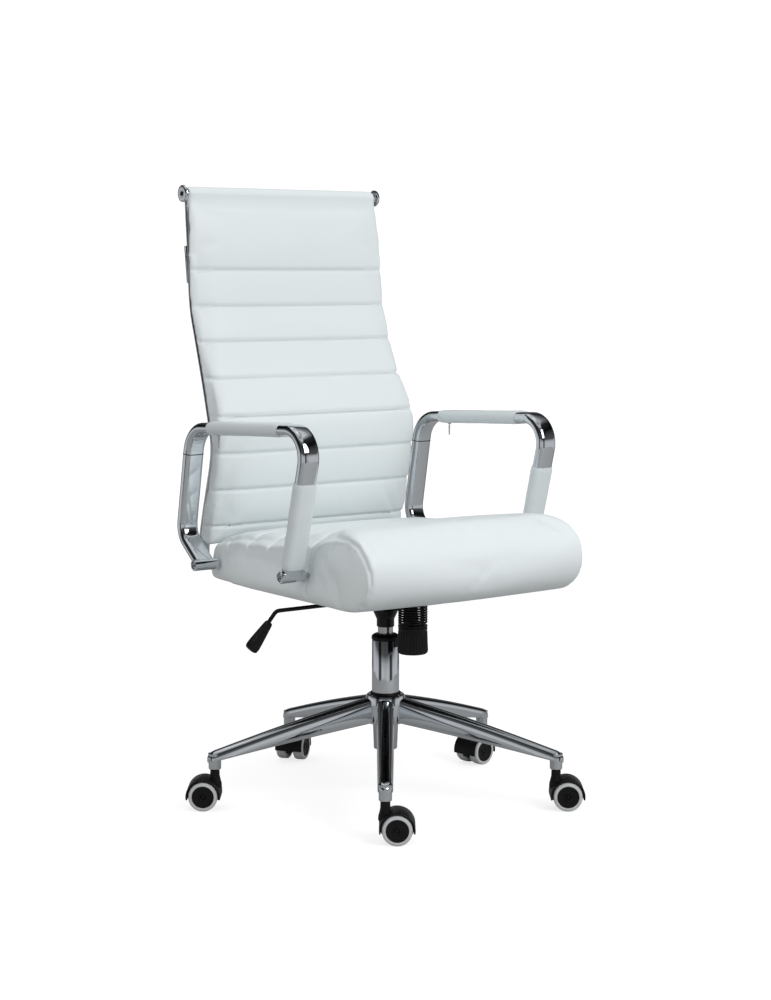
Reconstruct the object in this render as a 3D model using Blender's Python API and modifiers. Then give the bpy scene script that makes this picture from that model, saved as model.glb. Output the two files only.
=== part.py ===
"""High-back swivel armchair: five-star base, gas lift, tilt mechanism, padded seat and back.

Metres, +Z up, the sitter faces -Y.  Every size below is measured from the swivel axis,
and the whole chair is then moved by AXIS_X, AXIS_Y so that the middle of its footprint
lies on the origin.  Outlines named (y, z) are side views, extruded along X.
"""

import math

import bmesh
import bpy
from mathutils import Matrix, Vector

# ------------------------------------------------------------------ driving sizes
AXIS_X = 0.0211
AXIS_Y = -0.0308
GAP = 0.0003               # between pieces that touch

# star base
BASE_R = 0.3200            # caster axis from the swivel axis
LEG_ANGLES = (234, 306, 18, 90, 162)
LEG_TIP_W = 0.0262
LEG_HUB_W = 0.0320
LEG_TOP_HUB = 0.1850
LEG_TOP_TIP = 0.1050
LEG_BOTTOM_HUB = 0.1380
LEG_BOTTOM_TIP = 0.0870
SOCKET_R = 0.0110
HUB_R = 0.0360
HUB_TOP = 0.1900
HUB_BOTTOM = 0.1350

# casters
WHEEL_R = 0.0262
WHEEL_W = 0.0210
WEB = 0.0110               # middle wall of the hood
WHEEL_GAP = 0.0013         # wheel to web
TRAIL = 0.0200
TRAIL_ANGLES = (-36, -36, 189, 37, 144)
HOOD_CLEAR = 0.0018        # wheel tread to hood
HOOD_WALL = 0.0028
HOOD_W = 0.0550
STEM_R = 0.0055
STEM_IN_SOCKET = 0.0220
STEM_IN_HOOD = 0.0170
BOSS_R = 0.0088
NECK_H = 0.0148            # boss above the hood
AXLE_R = 0.0040

# gas lift
COLUMN_R = 0.0250
COLUMN_TOP = 0.2890
COLUMN_FOOT_R = 0.0215
COLUMN_FOOT = 0.0870
COLLAR_H = 0.0100
CYLINDER_R = 0.0140
CYLINDER_FOOT = 0.1250
CYLINDER_TOP = 0.3530
ROD_R = 0.0050
ROD_TOP = 0.2850
GUIDE_L = 0.0540           # guide bush at the top of the column

# tilt mechanism
PAN_W = 0.0800
PAN_REAR = 0.0520
PAN_FRONT = -0.0480
PAN_FLOOR = 0.3490
PAN_TOP = 0.3860
PAN_WALL = 0.0030
NOSE_W = 0.0680
NOSE_FRONT = -0.1220
NOSE_FLOOR = 0.3660
MECH_SOCKET_BOTTOM = 0.3130
MECH_SOCKET_R = 0.0158
MECH_FLARE_R = 0.0220
TILT_Y = -0.0320
TILT_Z = 0.3770
TILT_MAX = 12.0            # degrees
PIN_R = 0.0050
PLATE_W = 0.1700
PLATE_FRONT = -0.1120
PLATE_REAR = 0.0950
PLATE_T = 0.0030
EAR_T = 0.0030
EAR_R = 0.0130

# tilt tension
KNOB_Y = -0.0830
KNOB_TOP_R = 0.0265
KNOB_FOOT_R = 0.0278
KNOB_TOP = 0.3240
KNOB_H = 0.0500
KNOB_FLUTES = 16
STUD_R = 0.0050
STUD_FOOT = 0.2920
WASHER_T = 0.0025
SPRING_R = 0.0262          # wire centre
SPRING_WIRE = 0.0024
SPRING_TURNS = 8

# lever
LEVER_Z = 0.3635
LEVER_R = 0.0037
LEVER_BEND_X = -0.2360
LEVER_END = (-0.2680, 0.3270)
GRIP_START = (-0.2500, 0.3455)
GRIP_L = 0.0620
GRIP_W = 0.0270
GRIP_T = 0.0170
BUTTON_R = 0.0040

# seat
SEAT_HALF = 0.2370
SEAT_WALL = 0.0150         # padding outside the board
SEAT_REAR = 0.2350
SEAT_BOTTOM = 0.3930
SEAT_REAR_TOP = 0.4620
NOSE_Y = -0.2150
NOSE_Z = 0.4545
NOSE_DEPTH = 0.0730
NOSE_RISE = 0.0615
BOARD_FRONT = -0.2150
BOARD_REAR = 0.2150
BOARD_T = 0.0120
BLOCK_W = 0.0160
BLOCK_TOP = 0.4520
BLOCK_FRONT = -0.1200

# arms
ARM_CLEAR = 0.0008         # sleeve to seat
TUBE_HALF_W = 0.0200
TUBE_HALF_T = 0.0100
ARM_CORNERS = ((-0.0860, 0.4365), (-0.1530, 0.6900), (0.2290, 0.6720), (0.2660, 0.4744), (0.2000, 0.4245))
ARM_RADII = (0.0, 0.045, 0.055, 0.040, 0.0)
BARREL_R = 0.0105
BARREL_LIP = 0.0050        # barrel beyond the tube
SLEEVE_T = 0.0018
TOP_SLEEVE = (-0.0700, 0.1600)    # front and rear ends, y
POST_SLEEVE = (0.4520, 0.6000)    # lower and upper ends, z
BOLT_R = 0.0040
BOLT_HEAD_R = 0.0070
BOLT_HEAD_T = 0.0040
BOLT_GRIP = 0.0120         # bolt inside the side block
PULL_L = 0.0230
PULL_W = 0.0050
PULL_T = 0.0015

# back
BACK_INSET = 0.0215        # narrower than the seat, each side, at the top
BACK_FLARE = 0.062         # widening per metre below the top bar
BAR_Y = 0.3380
BAR_R = 0.0105
BAR_WALL = 0.0020
ROLL_R = 0.0155
CAP_R = 0.0160
CAP_T = 0.0050
RAIL_INSET = 0.0020
RAIL_W = 0.0220
RAIL_T = 0.0060
BACK_FOOT_Z = 0.4650
BACK_H = 0.6320            # top bar above the back's foot
RAIL_LINE = (              # y, share of the back's height
    (0.3365, 0.954), (0.3340, 0.910), (0.3280, 0.815), (0.3250, 0.736), (0.3180, 0.657),
    (0.3010, 0.574),
    (0.2760, 0.454), (0.2580, 0.359), (0.2465, 0.293), (0.2445, 0.253), (0.2490, 0.206),
    (0.2610, 0.138), (0.2740, 0.063), (0.2835, 0.000),
)
RAIL_BEND_Y = 0.2880
RAIL_BEND_R = 0.0260
RAIL_FOOT_END = 0.1000
PAD_LINE = (
    (0.3160, 0.910), (0.3080, 0.815), (0.3020, 0.720), (0.2965, 0.671), (0.2835, 0.609),
    (0.2620, 0.514), (0.2300, 0.419), (0.2080, 0.351), (0.2045, 0.301), (0.2065, 0.245),
    (0.2130, 0.174), (0.2260, 0.087), (0.2430, 0.011), (0.2520, -0.032),
)
SPREADER = (0.740, 0.850)         # lower and upper edge, share of the height
SPREADER_T = 0.0030

# ------------------------------------------------------------------ sizes that follow
BAR_Z = BACK_FOOT_Z + BACK_H
BOARD_HALF = SEAT_HALF - SEAT_WALL
ARM_X = SEAT_HALF + ARM_CLEAR + SLEEVE_T + GAP + TUBE_HALF_W
BARREL_OUT = ARM_X + TUBE_HALF_W + BARREL_LIP
BACK_HALF = SEAT_HALF - BACK_INSET
RAIL_OUT = BACK_HALF - RAIL_INSET
SEAT_PLATE_TOP = SEAT_BOTTOM
BOARD_BOTTOM = SEAT_BOTTOM + GAP
BOARD_TOP = BOARD_BOTTOM + BOARD_T
FOOT_Z = BOARD_TOP + GAP + RAIL_T / 2
FOOT_FLARE = 1 + BACK_FLARE * (BAR_Z - FOOT_Z)
BLOCK_OUT = (RAIL_OUT - RAIL_W) * FOOT_FLARE - 0.0015
BOLT_END = BLOCK_OUT - BOLT_GRIP
TREAD_IN = WEB / 2 + WHEEL_GAP
SHELL_IN = WHEEL_R + HOOD_CLEAR
SHELL_OUT = SHELL_IN + HOOD_WALL
SOCKET_BOTTOM = WHEEL_R + SHELL_OUT + NECK_H
HOOD_TOP = SOCKET_BOTTOM - 0.0008
BUTTON_TOP = LEVER_Z - LEVER_R - GAP
WASHER_TOP = KNOB_TOP + GAP + WASHER_T
SIDE_VIEW = Matrix(((0, 0, 1, 0), (1, 0, 0, 0), (0, 1, 0, 0), (0, 0, 0, 1)))


# ------------------------------------------------------------------ scene and materials
def clear_scene():
    for ob in list(bpy.data.objects):
        bpy.data.objects.remove(ob, do_unlink=True)


def make_collection(name):
    group = bpy.data.collections.new(name)
    bpy.context.scene.collection.children.link(group)
    return group


def make_material(name, colour, roughness, metallic):
    mat = bpy.data.materials.new(name)
    mat.use_nodes = True
    shader = mat.node_tree.nodes["Principled BSDF"]
    shader.inputs["Base Color"].default_value = (*colour, 1.0)
    shader.inputs["Roughness"].default_value = roughness
    shader.inputs["Metallic"].default_value = metallic
    mat.diffuse_color = (*colour, 1.0)
    return mat


clear_scene()
CHAIR = make_collection("office_chair")
CUTTERS = make_collection("cutters")

CHROME = make_material("chrome", (0.80, 0.81, 0.83), 0.08, 1.0)
STEEL = make_material("bright_steel", (0.60, 0.61, 0.63), 0.25, 1.0)
BLACK_STEEL = make_material("black_steel", (0.02, 0.02, 0.02), 0.45, 0.0)
BLACK_PLASTIC = make_material("black_plastic", (0.015, 0.015, 0.016), 0.35, 0.0)
GREY_TYRE = make_material("grey_tyre", (0.62, 0.63, 0.65), 0.40, 0.0)
WHITE_HIDE = make_material("white_leatherette", (0.86, 0.87, 0.88), 0.38, 0.0)
PLYWOOD = make_material("plywood", (0.52, 0.37, 0.22), 0.60, 0.0)


def make_empty(name, location, parent=None, turn=0.0):
    """A joint's axis: pieces hang from it and turn or slide with it."""
    empty = bpy.data.objects.new(name, None)
    empty.empty_display_size = 0.03
    empty.location = location
    empty.rotation_euler = (0, 0, turn)
    empty.parent = parent
    CHAIR.objects.link(empty)
    return empty


SWIVEL = make_empty("swivel_axis", (AXIS_X, AXIS_Y, 0))


def place(ob, axis=None):
    """Hang a piece drawn from the swivel axis on the empty of its joint."""
    ob.parent = axis or SWIVEL
    if axis is not None:
        ob.matrix_parent_inverse = Matrix.Translation(-axis.location)
    return ob


# ------------------------------------------------------------------ shape helpers
def finish_mesh(mesh, material):
    mesh.materials.clear()
    if material is not None:
        mesh.materials.append(material)
    mesh.shade_smooth()
    mesh.set_sharp_from_angle(angle=math.radians(32))


def new_object(name, bm, material, group=None):
    mesh = bpy.data.meshes.new(name)
    bm.to_mesh(mesh)
    bm.free()
    finish_mesh(mesh, material)
    ob = bpy.data.objects.new(name, mesh)
    (group or CHAIR).objects.link(ob)
    return ob


def box(name, x, y, z, material=None):
    """A block between two x, two y and two z values."""
    bm = bmesh.new()
    bmesh.ops.create_cube(bm, size=1.0)
    size = Vector((x[1] - x[0], y[1] - y[0], z[1] - z[0]))
    middle = Vector((x[0] + x[1], y[0] + y[1], z[0] + z[1])) / 2
    bmesh.ops.scale(bm, vec=size, verts=bm.verts)
    bmesh.ops.translate(bm, vec=middle, verts=bm.verts)
    return new_object(name, bm, material)


def rod(name, start, end, radius, material=None, sides=24, end_radius=None):
    """A cylinder or cone between two points."""
    start, end = Vector(start), Vector(end)
    run = end - start
    turn = run.to_track_quat("Z", "Y").to_matrix().to_4x4()
    bm = bmesh.new()
    bmesh.ops.create_cone(
        bm, cap_ends=True, segments=sides, radius1=radius,
        radius2=radius if end_radius is None else end_radius, depth=run.length,
        matrix=Matrix.Translation((start + end) / 2) @ turn,
    )
    return new_object(name, bm, material)


def turned(name, profile, material=None, steps=32, ring=False):
    """Turn (radius, height) points, listed down the outer side, about Z."""
    bm = bmesh.new()
    verts = [bm.verts.new((r, 0, z)) for r, z in profile]
    for a, b in zip(verts, verts[1:]):
        bm.edges.new((a, b))
    if ring:
        bm.edges.new((verts[-1], verts[0]))
    ob = new_object(name, bm, material)
    screw = ob.modifiers.new("turn", "SCREW")
    screw.steps = steps
    screw.render_steps = steps
    screw.use_merge_vertices = True
    screw.merge_threshold = 0.00001
    return as_mesh(ob)


def as_mesh(ob):
    """Replace an object by its evaluated mesh, with its end caps welded on."""
    name, group, matrix = ob.name, ob.users_collection[0], ob.matrix_basis.copy()
    bpy.context.view_layer.update()
    seen = ob.evaluated_get(bpy.context.evaluated_depsgraph_get())
    mesh = bpy.data.meshes.new_from_object(seen)
    material = mesh.materials[0] if mesh.materials else None
    bm = bmesh.new()
    bm.from_mesh(mesh)
    bmesh.ops.remove_doubles(bm, verts=bm.verts, dist=0.00001)
    bm.transform(matrix)
    bmesh.ops.recalc_face_normals(bm, faces=bm.faces)
    if bm.calc_volume(signed=True) < 0:
        bmesh.ops.reverse_faces(bm, faces=bm.faces)
    bpy.data.objects.remove(ob, do_unlink=True)
    return new_object(name, bm, material, group)


def curve_object(name, points, material, closed=False):
    curve = bpy.data.curves.new(name, "CURVE")
    curve.dimensions = "3D"
    spline = curve.splines.new("POLY")
    spline.points.add(len(points) - 1)
    for point, co in zip(spline.points, points):
        point.co = (*co, 1.0)
    spline.use_cyclic_u = closed
    if material is not None:
        curve.materials.append(material)
    ob = bpy.data.objects.new(name, curve)
    CHAIR.objects.link(ob)
    return ob


def tube(name, points, radius, material=None, resolution=2):
    """A round bar along 3-D points."""
    ob = curve_object(name, points, material)
    ob.data.bevel_depth = radius
    ob.data.bevel_resolution = resolution
    ob.data.use_fill_caps = True
    return as_mesh(ob)


def flat_tube(name, path, x, half_w, half_t, material=None):
    """A flat-oval bar along a (y, z) path, half_w to each side of x."""
    ob = curve_object(name, [(y, z, 0.0) for y, z in path], material)
    ob.data.bevel_depth = half_t
    ob.data.extrude = half_w - half_t
    ob.data.bevel_resolution = 2
    ob.data.use_fill_caps = True
    ob.matrix_basis = Matrix.Translation((x, 0, 0)) @ SIDE_VIEW
    return as_mesh(ob)


def extruded(name, outline, x, material=None):
    """A closed (y, z) outline between two x values."""
    ob = curve_object(name, [(y, z, 0.0) for y, z in outline], material, closed=True)
    ob.data.dimensions = "2D"
    ob.data.fill_mode = "BOTH"
    ob.data.extrude = (x[1] - x[0]) / 2
    ob.matrix_basis = Matrix.Translation(((x[0] + x[1]) / 2, 0, 0)) @ SIDE_VIEW
    return as_mesh(ob)


def boolean(ob, tool, operation):
    if tool.name not in CUTTERS.objects:
        CUTTERS.objects.link(tool)
        CHAIR.objects.unlink(tool)
    tool.hide_render = True
    tool.display_type = "WIRE"
    tool.parent = ob.parent
    tool.matrix_parent_inverse = ob.matrix_parent_inverse
    mod = ob.modifiers.new(tool.name, "BOOLEAN")
    mod.operation = operation
    mod.solver = "EXACT"
    mod.object = tool


def cut(ob, *tools):
    for tool in tools:
        boolean(ob, tool, "DIFFERENCE")


def fuse(ob, *tools):
    for tool in tools:
        boolean(ob, tool, "UNION")


def round_edges(ob, width, segments=2, angle=40):
    mod = ob.modifiers.new("rounded", "BEVEL")
    mod.width = width
    mod.segments = segments
    mod.limit_method = "ANGLE"
    mod.angle_limit = math.radians(angle)
    return ob


# ------------------------------------------------------------------ line helpers
def arc(centre, radius, start, end, count):
    """Points on a circle between two angles in degrees."""
    points = []
    for i in range(count + 1):
        a = math.radians(start + (end - start) * i / count)
        points.append((centre[0] + radius * math.cos(a), centre[1] + radius * math.sin(a)))
    return points


def rounded_path(corners, radii, count=5):
    """A path through corners, each replaced by an arc that is tangent to both runs."""
    path = []
    for i, (corner, radius) in enumerate(zip(corners, radii)):
        if radius == 0.0:
            path.append(tuple(corner))
            continue
        here = Vector(corner)
        back = (Vector(corners[i - 1]) - here).normalized()
        ahead = (Vector(corners[i + 1]) - here).normalized()
        half = back.angle(ahead) / 2
        centre = here + (back + ahead).normalized() * radius / math.sin(half)
        first = here + back * radius / math.tan(half) - centre
        last = here + ahead * radius / math.tan(half) - centre
        sweep = first.angle(last)
        for k in range(count + 1):
            t = k / count
            mix = first * math.sin((1 - t) * sweep) + last * math.sin(t * sweep)
            path.append(tuple(centre + mix / math.sin(sweep)))
    return path


def shifted(line, distance):
    """The line moved sideways, to the left of its direction when distance is positive."""
    moved = []
    for i, point in enumerate(line):
        before = Vector(line[max(i - 1, 0)])
        after = Vector(line[min(i + 1, len(line) - 1)])
        run = (after - before).normalized()
        moved.append(tuple(Vector(point) + Vector((-run.y, run.x)) * distance))
    return moved


def flare(ob):
    """Widen a piece of the back evenly below the top bar."""
    for v in ob.data.vertices:
        v.co.x *= 1 + BACK_FLARE * max(BAR_Z - v.co.z, 0.0)
    return ob


# ------------------------------------------------------------------ star base
def leg_frame(angle):
    return Matrix.Rotation(math.radians(angle), 4, "Z")


def tapered_leg(name, angle):
    """A box from inside the hub to the caster socket, lower and narrower at the tip."""
    bm = bmesh.new()
    bmesh.ops.create_cube(bm, size=1.0)
    for v in bm.verts:
        tip = v.co.x > 0
        top = v.co.z > 0
        wide = LEG_TIP_W if tip else LEG_HUB_W
        high = (LEG_TOP_TIP if tip else LEG_TOP_HUB) if top else (LEG_BOTTOM_TIP if tip else LEG_BOTTOM_HUB)
        v.co = Vector((
            BASE_R + SOCKET_R * 0.9 if tip else COLUMN_R * 0.7,
            math.copysign(wide / 2, v.co.y) * (0.72 if top else 1.0),
            high,
        ))
    bm.transform(leg_frame(angle))
    leg = new_object(name, bm, CHROME)
    round_edges(leg, 0.004, 1)
    return as_mesh(leg)


def star_base():
    slope = (COLUMN_R - COLUMN_FOOT_R) / (HUB_TOP - COLUMN_FOOT)
    base = turned("star_base", [
        (0.0, HUB_TOP - 0.004), (HUB_R - 0.004, HUB_TOP), (HUB_R, HUB_TOP - 0.003),
        (HUB_R - 0.001, HUB_BOTTOM + 0.004), (HUB_R - 0.004, HUB_BOTTOM), (0.0, HUB_BOTTOM),
    ], CHROME, 24)
    place(base)
    for i, angle in enumerate(LEG_ANGLES, 1):
        out = leg_frame(angle) @ Vector((BASE_R, 0, 0))
        fuse(base, tapered_leg(f"leg_shape_{i}", angle))
        low = Vector((out.x, out.y, SOCKET_BOTTOM))
        high = Vector((out.x, out.y, LEG_TOP_TIP - 0.003))
        fuse(base, rod(f"socket_shape_{i}", low, high, SOCKET_R, CHROME, 14))
    taper = rod(
        "hub_bore", (0, 0, HUB_BOTTOM - 0.01), (0, 0, HUB_TOP + 0.01),
        COLUMN_FOOT_R + slope * (HUB_BOTTOM - 0.01 - COLUMN_FOOT) + GAP, None, 24,
        COLUMN_R + slope * 0.01 + GAP,
    )
    cut(base, taper)
    for i, angle in enumerate(LEG_ANGLES, 1):
        out = leg_frame(angle) @ Vector((BASE_R, 0, 0))
        low = Vector((out.x, out.y, SOCKET_BOTTOM - 0.01))
        high = Vector((out.x, out.y, SOCKET_BOTTOM + STEM_IN_SOCKET + GAP))
        cut(base, rod(f"stem_bore_{i}", low, high, STEM_R + GAP, None, 12))


# ------------------------------------------------------------------ casters
def caster_hood(name, axis):
    """Two wheel chambers either side of a web, with the stem boss behind the axle."""
    hub = Vector((TRAIL, 0, WHEEL_R))
    outline = arc((hub.x, hub.z), SHELL_OUT, -12, 192, 12)
    curve = curve_object(name, [(x, z, 0.0) for x, z in outline], BLACK_PLASTIC, closed=True)
    curve.data.dimensions = "2D"
    curve.data.fill_mode = "BOTH"
    curve.data.extrude = HOOD_W / 2
    curve.matrix_basis = Matrix.Rotation(math.radians(90), 4, "X")
    hood = as_mesh(curve)
    hood.parent = axis
    boss = rod(name + "_boss", (0, 0, WHEEL_R), (0, 0, HOOD_TOP), BOSS_R, BLACK_PLASTIC, 14)
    fuse(hood, boss)
    for side, word in ((1, "left"), (-1, "right")):
        near = hub + Vector((0, side * WEB / 2, 0))
        far = hub + Vector((0, side * HOOD_W, 0))
        cut(hood, rod(f"{name}_chamber_{word}", near, far, SHELL_IN, None, 20))
    nut = rod(name + "_nut", hub + Vector((0, -WEB / 2, 0)), hub + Vector((0, WEB / 2, 0)), 0.0085,
              BLACK_PLASTIC, 14)
    fuse(hood, nut)
    cut(hood, rod(name + "_axle_bore", hub - Vector((0, 0.04, 0)), hub + Vector((0, 0.04, 0)),
                  AXLE_R + GAP, None, 12))
    cut(hood, rod(name + "_stem_bore", (0, 0, HOOD_TOP - STEM_IN_HOOD - GAP), (0, 0, HOOD_TOP + 0.02),
                  STEM_R + GAP, None, 12))


def caster_wheel(name, axis, side, share):
    """Tyre and disc moulded as one ring, with its middle on the axle."""
    half = WHEEL_W / 2
    if share is None:
        bore = AXLE_R + GAP
        wheel = turned(name, [
            (bore, half - 0.0015), (WHEEL_R * 0.72, half - 0.0015), (WHEEL_R * 0.77, half),
            (WHEEL_R - 0.0025, half), (WHEEL_R, half - 0.0030),
            (WHEEL_R, -half), (bore, -half),
        ], GREY_TYRE, 16, ring=True)
    else:
        wheel = bpy.data.objects.new(name, share.data)
        CHAIR.objects.link(wheel)
    wheel.parent = axis
    wheel.location = (TRAIL, side * (TREAD_IN + half), WHEEL_R)
    wheel.rotation_euler = (math.radians(-90 * side), 0, 0)
    return wheel


def casters():
    share = None
    for i, (angle, trail) in enumerate(zip(LEG_ANGLES, TRAIL_ANGLES), 1):
        out = leg_frame(angle) @ Vector((BASE_R, 0, 0))
        axis = make_empty(f"caster_axis_{i}", out, SWIVEL, math.radians(trail))
        caster_hood(f"caster_hood_{i}", axis)
        stem = rod(f"caster_stem_{i}", (0, 0, HOOD_TOP - STEM_IN_HOOD),
                   (0, 0, SOCKET_BOTTOM + STEM_IN_SOCKET), STEM_R, STEEL, 12)
        stem.parent = axis
        reach = TREAD_IN + WHEEL_W - 0.0030
        axle = rod(f"caster_axle_{i}", (TRAIL, -reach, WHEEL_R), (TRAIL, reach, WHEEL_R), AXLE_R, STEEL, 12)
        axle.parent = axis
        share = caster_wheel(f"wheel_left_{i}", axis, 1, share)
        caster_wheel(f"wheel_right_{i}", axis, -1, share)


# ------------------------------------------------------------------ gas lift
def gas_lift():
    """Fixed outer tube, standing rod, and the sliding cylinder that carries the seat."""
    guide = COLUMN_TOP - GUIDE_L
    column = turned("lift_column", [
        (CYLINDER_R + GAP, COLUMN_TOP), (COLUMN_R - 0.0010, COLUMN_TOP), (COLUMN_R, COLUMN_TOP - 0.0010),
        (COLUMN_R, HUB_TOP), (COLUMN_FOOT_R, COLUMN_FOOT), (ROD_R + GAP, COLUMN_FOOT),
        (ROD_R + GAP, COLUMN_FOOT + 0.0050), (COLUMN_FOOT_R - 0.0030, COLUMN_FOOT + 0.0050),
        (COLUMN_FOOT_R - 0.0030, guide), (CYLINDER_R + GAP, guide),
    ], CHROME, 24, ring=True)
    place(column)
    low = COLUMN_TOP + GAP
    collar = turned("lift_collar", [
        (CYLINDER_R + GAP, low + COLLAR_H), (COLUMN_R - 0.0040, low + COLLAR_H),
        (COLUMN_R + 0.0005, low + COLLAR_H - 0.0040), (COLUMN_R + 0.0005, low + 0.0010),
        (COLUMN_R - 0.0005, low), (CYLINDER_R + GAP, low),
    ], BLACK_PLASTIC, 24, ring=True)
    place(collar)
    foot = COLUMN_FOOT + 0.0050 + GAP
    standing = turned("lift_rod", [
        (0.0, ROD_TOP), (ROD_R - 0.0010, ROD_TOP), (ROD_R, ROD_TOP - 0.0010), (ROD_R, foot + 0.0060),
        (0.0120, foot + 0.0060), (0.0120, foot), (ROD_R, foot), (ROD_R, COLUMN_FOOT - 0.0040),
        (0.0, COLUMN_FOOT - 0.0040),
    ], STEEL, 16)
    place(standing, make_empty("swivel_joint", (0, 0, foot), SWIVEL))
    height = make_empty("height_joint", (0, 0, CYLINDER_FOOT), SWIVEL)
    bore = ROD_R + 0.0005
    cylinder = turned("lift_cylinder", [
        (BUTTON_R + GAP, CYLINDER_TOP), (CYLINDER_R - 0.0010, CYLINDER_TOP),
        (CYLINDER_R, CYLINDER_TOP - 0.0010), (CYLINDER_R, CYLINDER_FOOT + 0.0010),
        (CYLINDER_R - 0.0010, CYLINDER_FOOT), (bore, CYLINDER_FOOT), (bore, ROD_TOP + 0.0100),
        (0.0, ROD_TOP + 0.0100), (0.0, CYLINDER_TOP - 0.0200), (BUTTON_R + GAP, CYLINDER_TOP - 0.0200),
    ], STEEL, 20, ring=True)
    place(cylinder, height)
    button = rod("lift_button", (0, 0, CYLINDER_TOP - 0.0140), (0, 0, BUTTON_TOP), BUTTON_R, STEEL, 12)
    place(button, make_empty("button_joint", (0, 0, BUTTON_TOP), SWIVEL))
    return height


# ------------------------------------------------------------------ tilt mechanism
def mechanism(height):
    """Pressed pan on the cylinder, open at the top, with a shallow nose over the spring."""
    half, nose = PAN_W / 2, NOSE_W / 2
    pan = place(box("mech_pan", (-half, half), (PAN_FRONT, PAN_REAR), (PAN_FLOOR, PAN_TOP), BLACK_STEEL), height)
    fuse(pan, box("pan_nose", (-nose, nose), (NOSE_FRONT, PAN_FRONT + 0.004), (NOSE_FLOOR, PAN_TOP)))
    fuse(pan, turned("pan_socket", [
        (0.0, PAN_FLOOR + 0.0010), (MECH_FLARE_R + 0.004, PAN_FLOOR + 0.0010), (MECH_FLARE_R, PAN_FLOOR - 0.008),
        (MECH_SOCKET_R + 0.001, MECH_SOCKET_BOTTOM + 0.015), (MECH_SOCKET_R, MECH_SOCKET_BOTTOM + 0.014),
        (MECH_SOCKET_R, MECH_SOCKET_BOTTOM + 0.001), (MECH_SOCKET_R - 0.001, MECH_SOCKET_BOTTOM),
        (0.0, MECH_SOCKET_BOTTOM),
    ], None, 20))
    inner = half - PAN_WALL
    cut(pan, box("pan_hollow", (-inner, inner), (PAN_FRONT + PAN_WALL, PAN_REAR - PAN_WALL),
                 (PAN_FLOOR + PAN_WALL, PAN_TOP + 0.02)))
    inner = nose - PAN_WALL
    cut(pan, box("nose_hollow", (-inner, inner), (NOSE_FRONT + PAN_WALL, PAN_FRONT + 0.010),
                 (NOSE_FLOOR + PAN_WALL, PAN_TOP + 0.02)))
    drop = (PAN_REAR + 0.01 - TILT_Y) * math.tan(math.radians(TILT_MAX))
    cut(pan, extruded("pan_slope", [
        (TILT_Y, PAN_TOP), (PAN_REAR + 0.01, PAN_TOP - drop), (PAN_REAR + 0.01, PAN_TOP + 0.01),
        (TILT_Y, PAN_TOP + 0.01),
    ], (-half - 0.01, half + 0.01)))
    cut(pan, rod("pan_bore", (0, 0, MECH_SOCKET_BOTTOM - 0.01), (0, 0, PAN_FLOOR + 0.02), CYLINDER_R + GAP,
                 None, 20))
    cut(pan, rod("pan_pin_bore", (-half - 0.01, TILT_Y, TILT_Z), (half + 0.01, TILT_Y, TILT_Z), PIN_R + GAP,
                 None, 16))
    cut(pan, rod("pan_lever_slot", (-half - 0.01, 0, LEVER_Z), (-half + 0.01, 0, LEVER_Z), LEVER_R + 0.0010,
                 None, 16))
    cut(pan, rod("pan_stud_hole", (0, KNOB_Y, NOSE_FLOOR - 0.01), (0, KNOB_Y, NOSE_FLOOR + 0.02), 0.0120,
                 None, 24))


def seat_plate(tilt):
    """Plate under the seat, two ears on the tilt pin and the stud for the tension knob."""
    low, ear = SEAT_PLATE_TOP - PLATE_T, PAN_W / 2 + 0.0005
    plate = box("seat_plate", (-PLATE_W / 2, PLATE_W / 2), (PLATE_FRONT, PLATE_REAR), (low, SEAT_PLATE_TOP),
                BLACK_STEEL)
    place(plate, tilt)
    outline = [(TILT_Y - EAR_R, low + 0.001)] + arc((TILT_Y, TILT_Z), EAR_R, 180, 360, 10)
    outline.append((TILT_Y + EAR_R, low + 0.001))
    for side, word in ((-1, "right"), (1, "left")):
        x = sorted((side * ear, side * (ear + EAR_T)))
        fuse(plate, extruded(f"ear_{word}", outline, x))
    fuse(plate, rod("tension_stud", (0, KNOB_Y, STUD_FOOT), (0, KNOB_Y, low + 0.001), STUD_R, None, 16))
    far = ear + EAR_T + 0.01
    cut(plate, rod("ear_bore", (-far, TILT_Y, TILT_Z), (far, TILT_Y, TILT_Z), PIN_R + GAP, None, 16))
    reach = ear + EAR_T + 0.0025
    pin = rod("tilt_pin", (-reach, TILT_Y, TILT_Z), (reach, TILT_Y, TILT_Z), PIN_R, STEEL, 16)
    place(round_edges(pin, 0.0008, 1), tilt)


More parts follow.
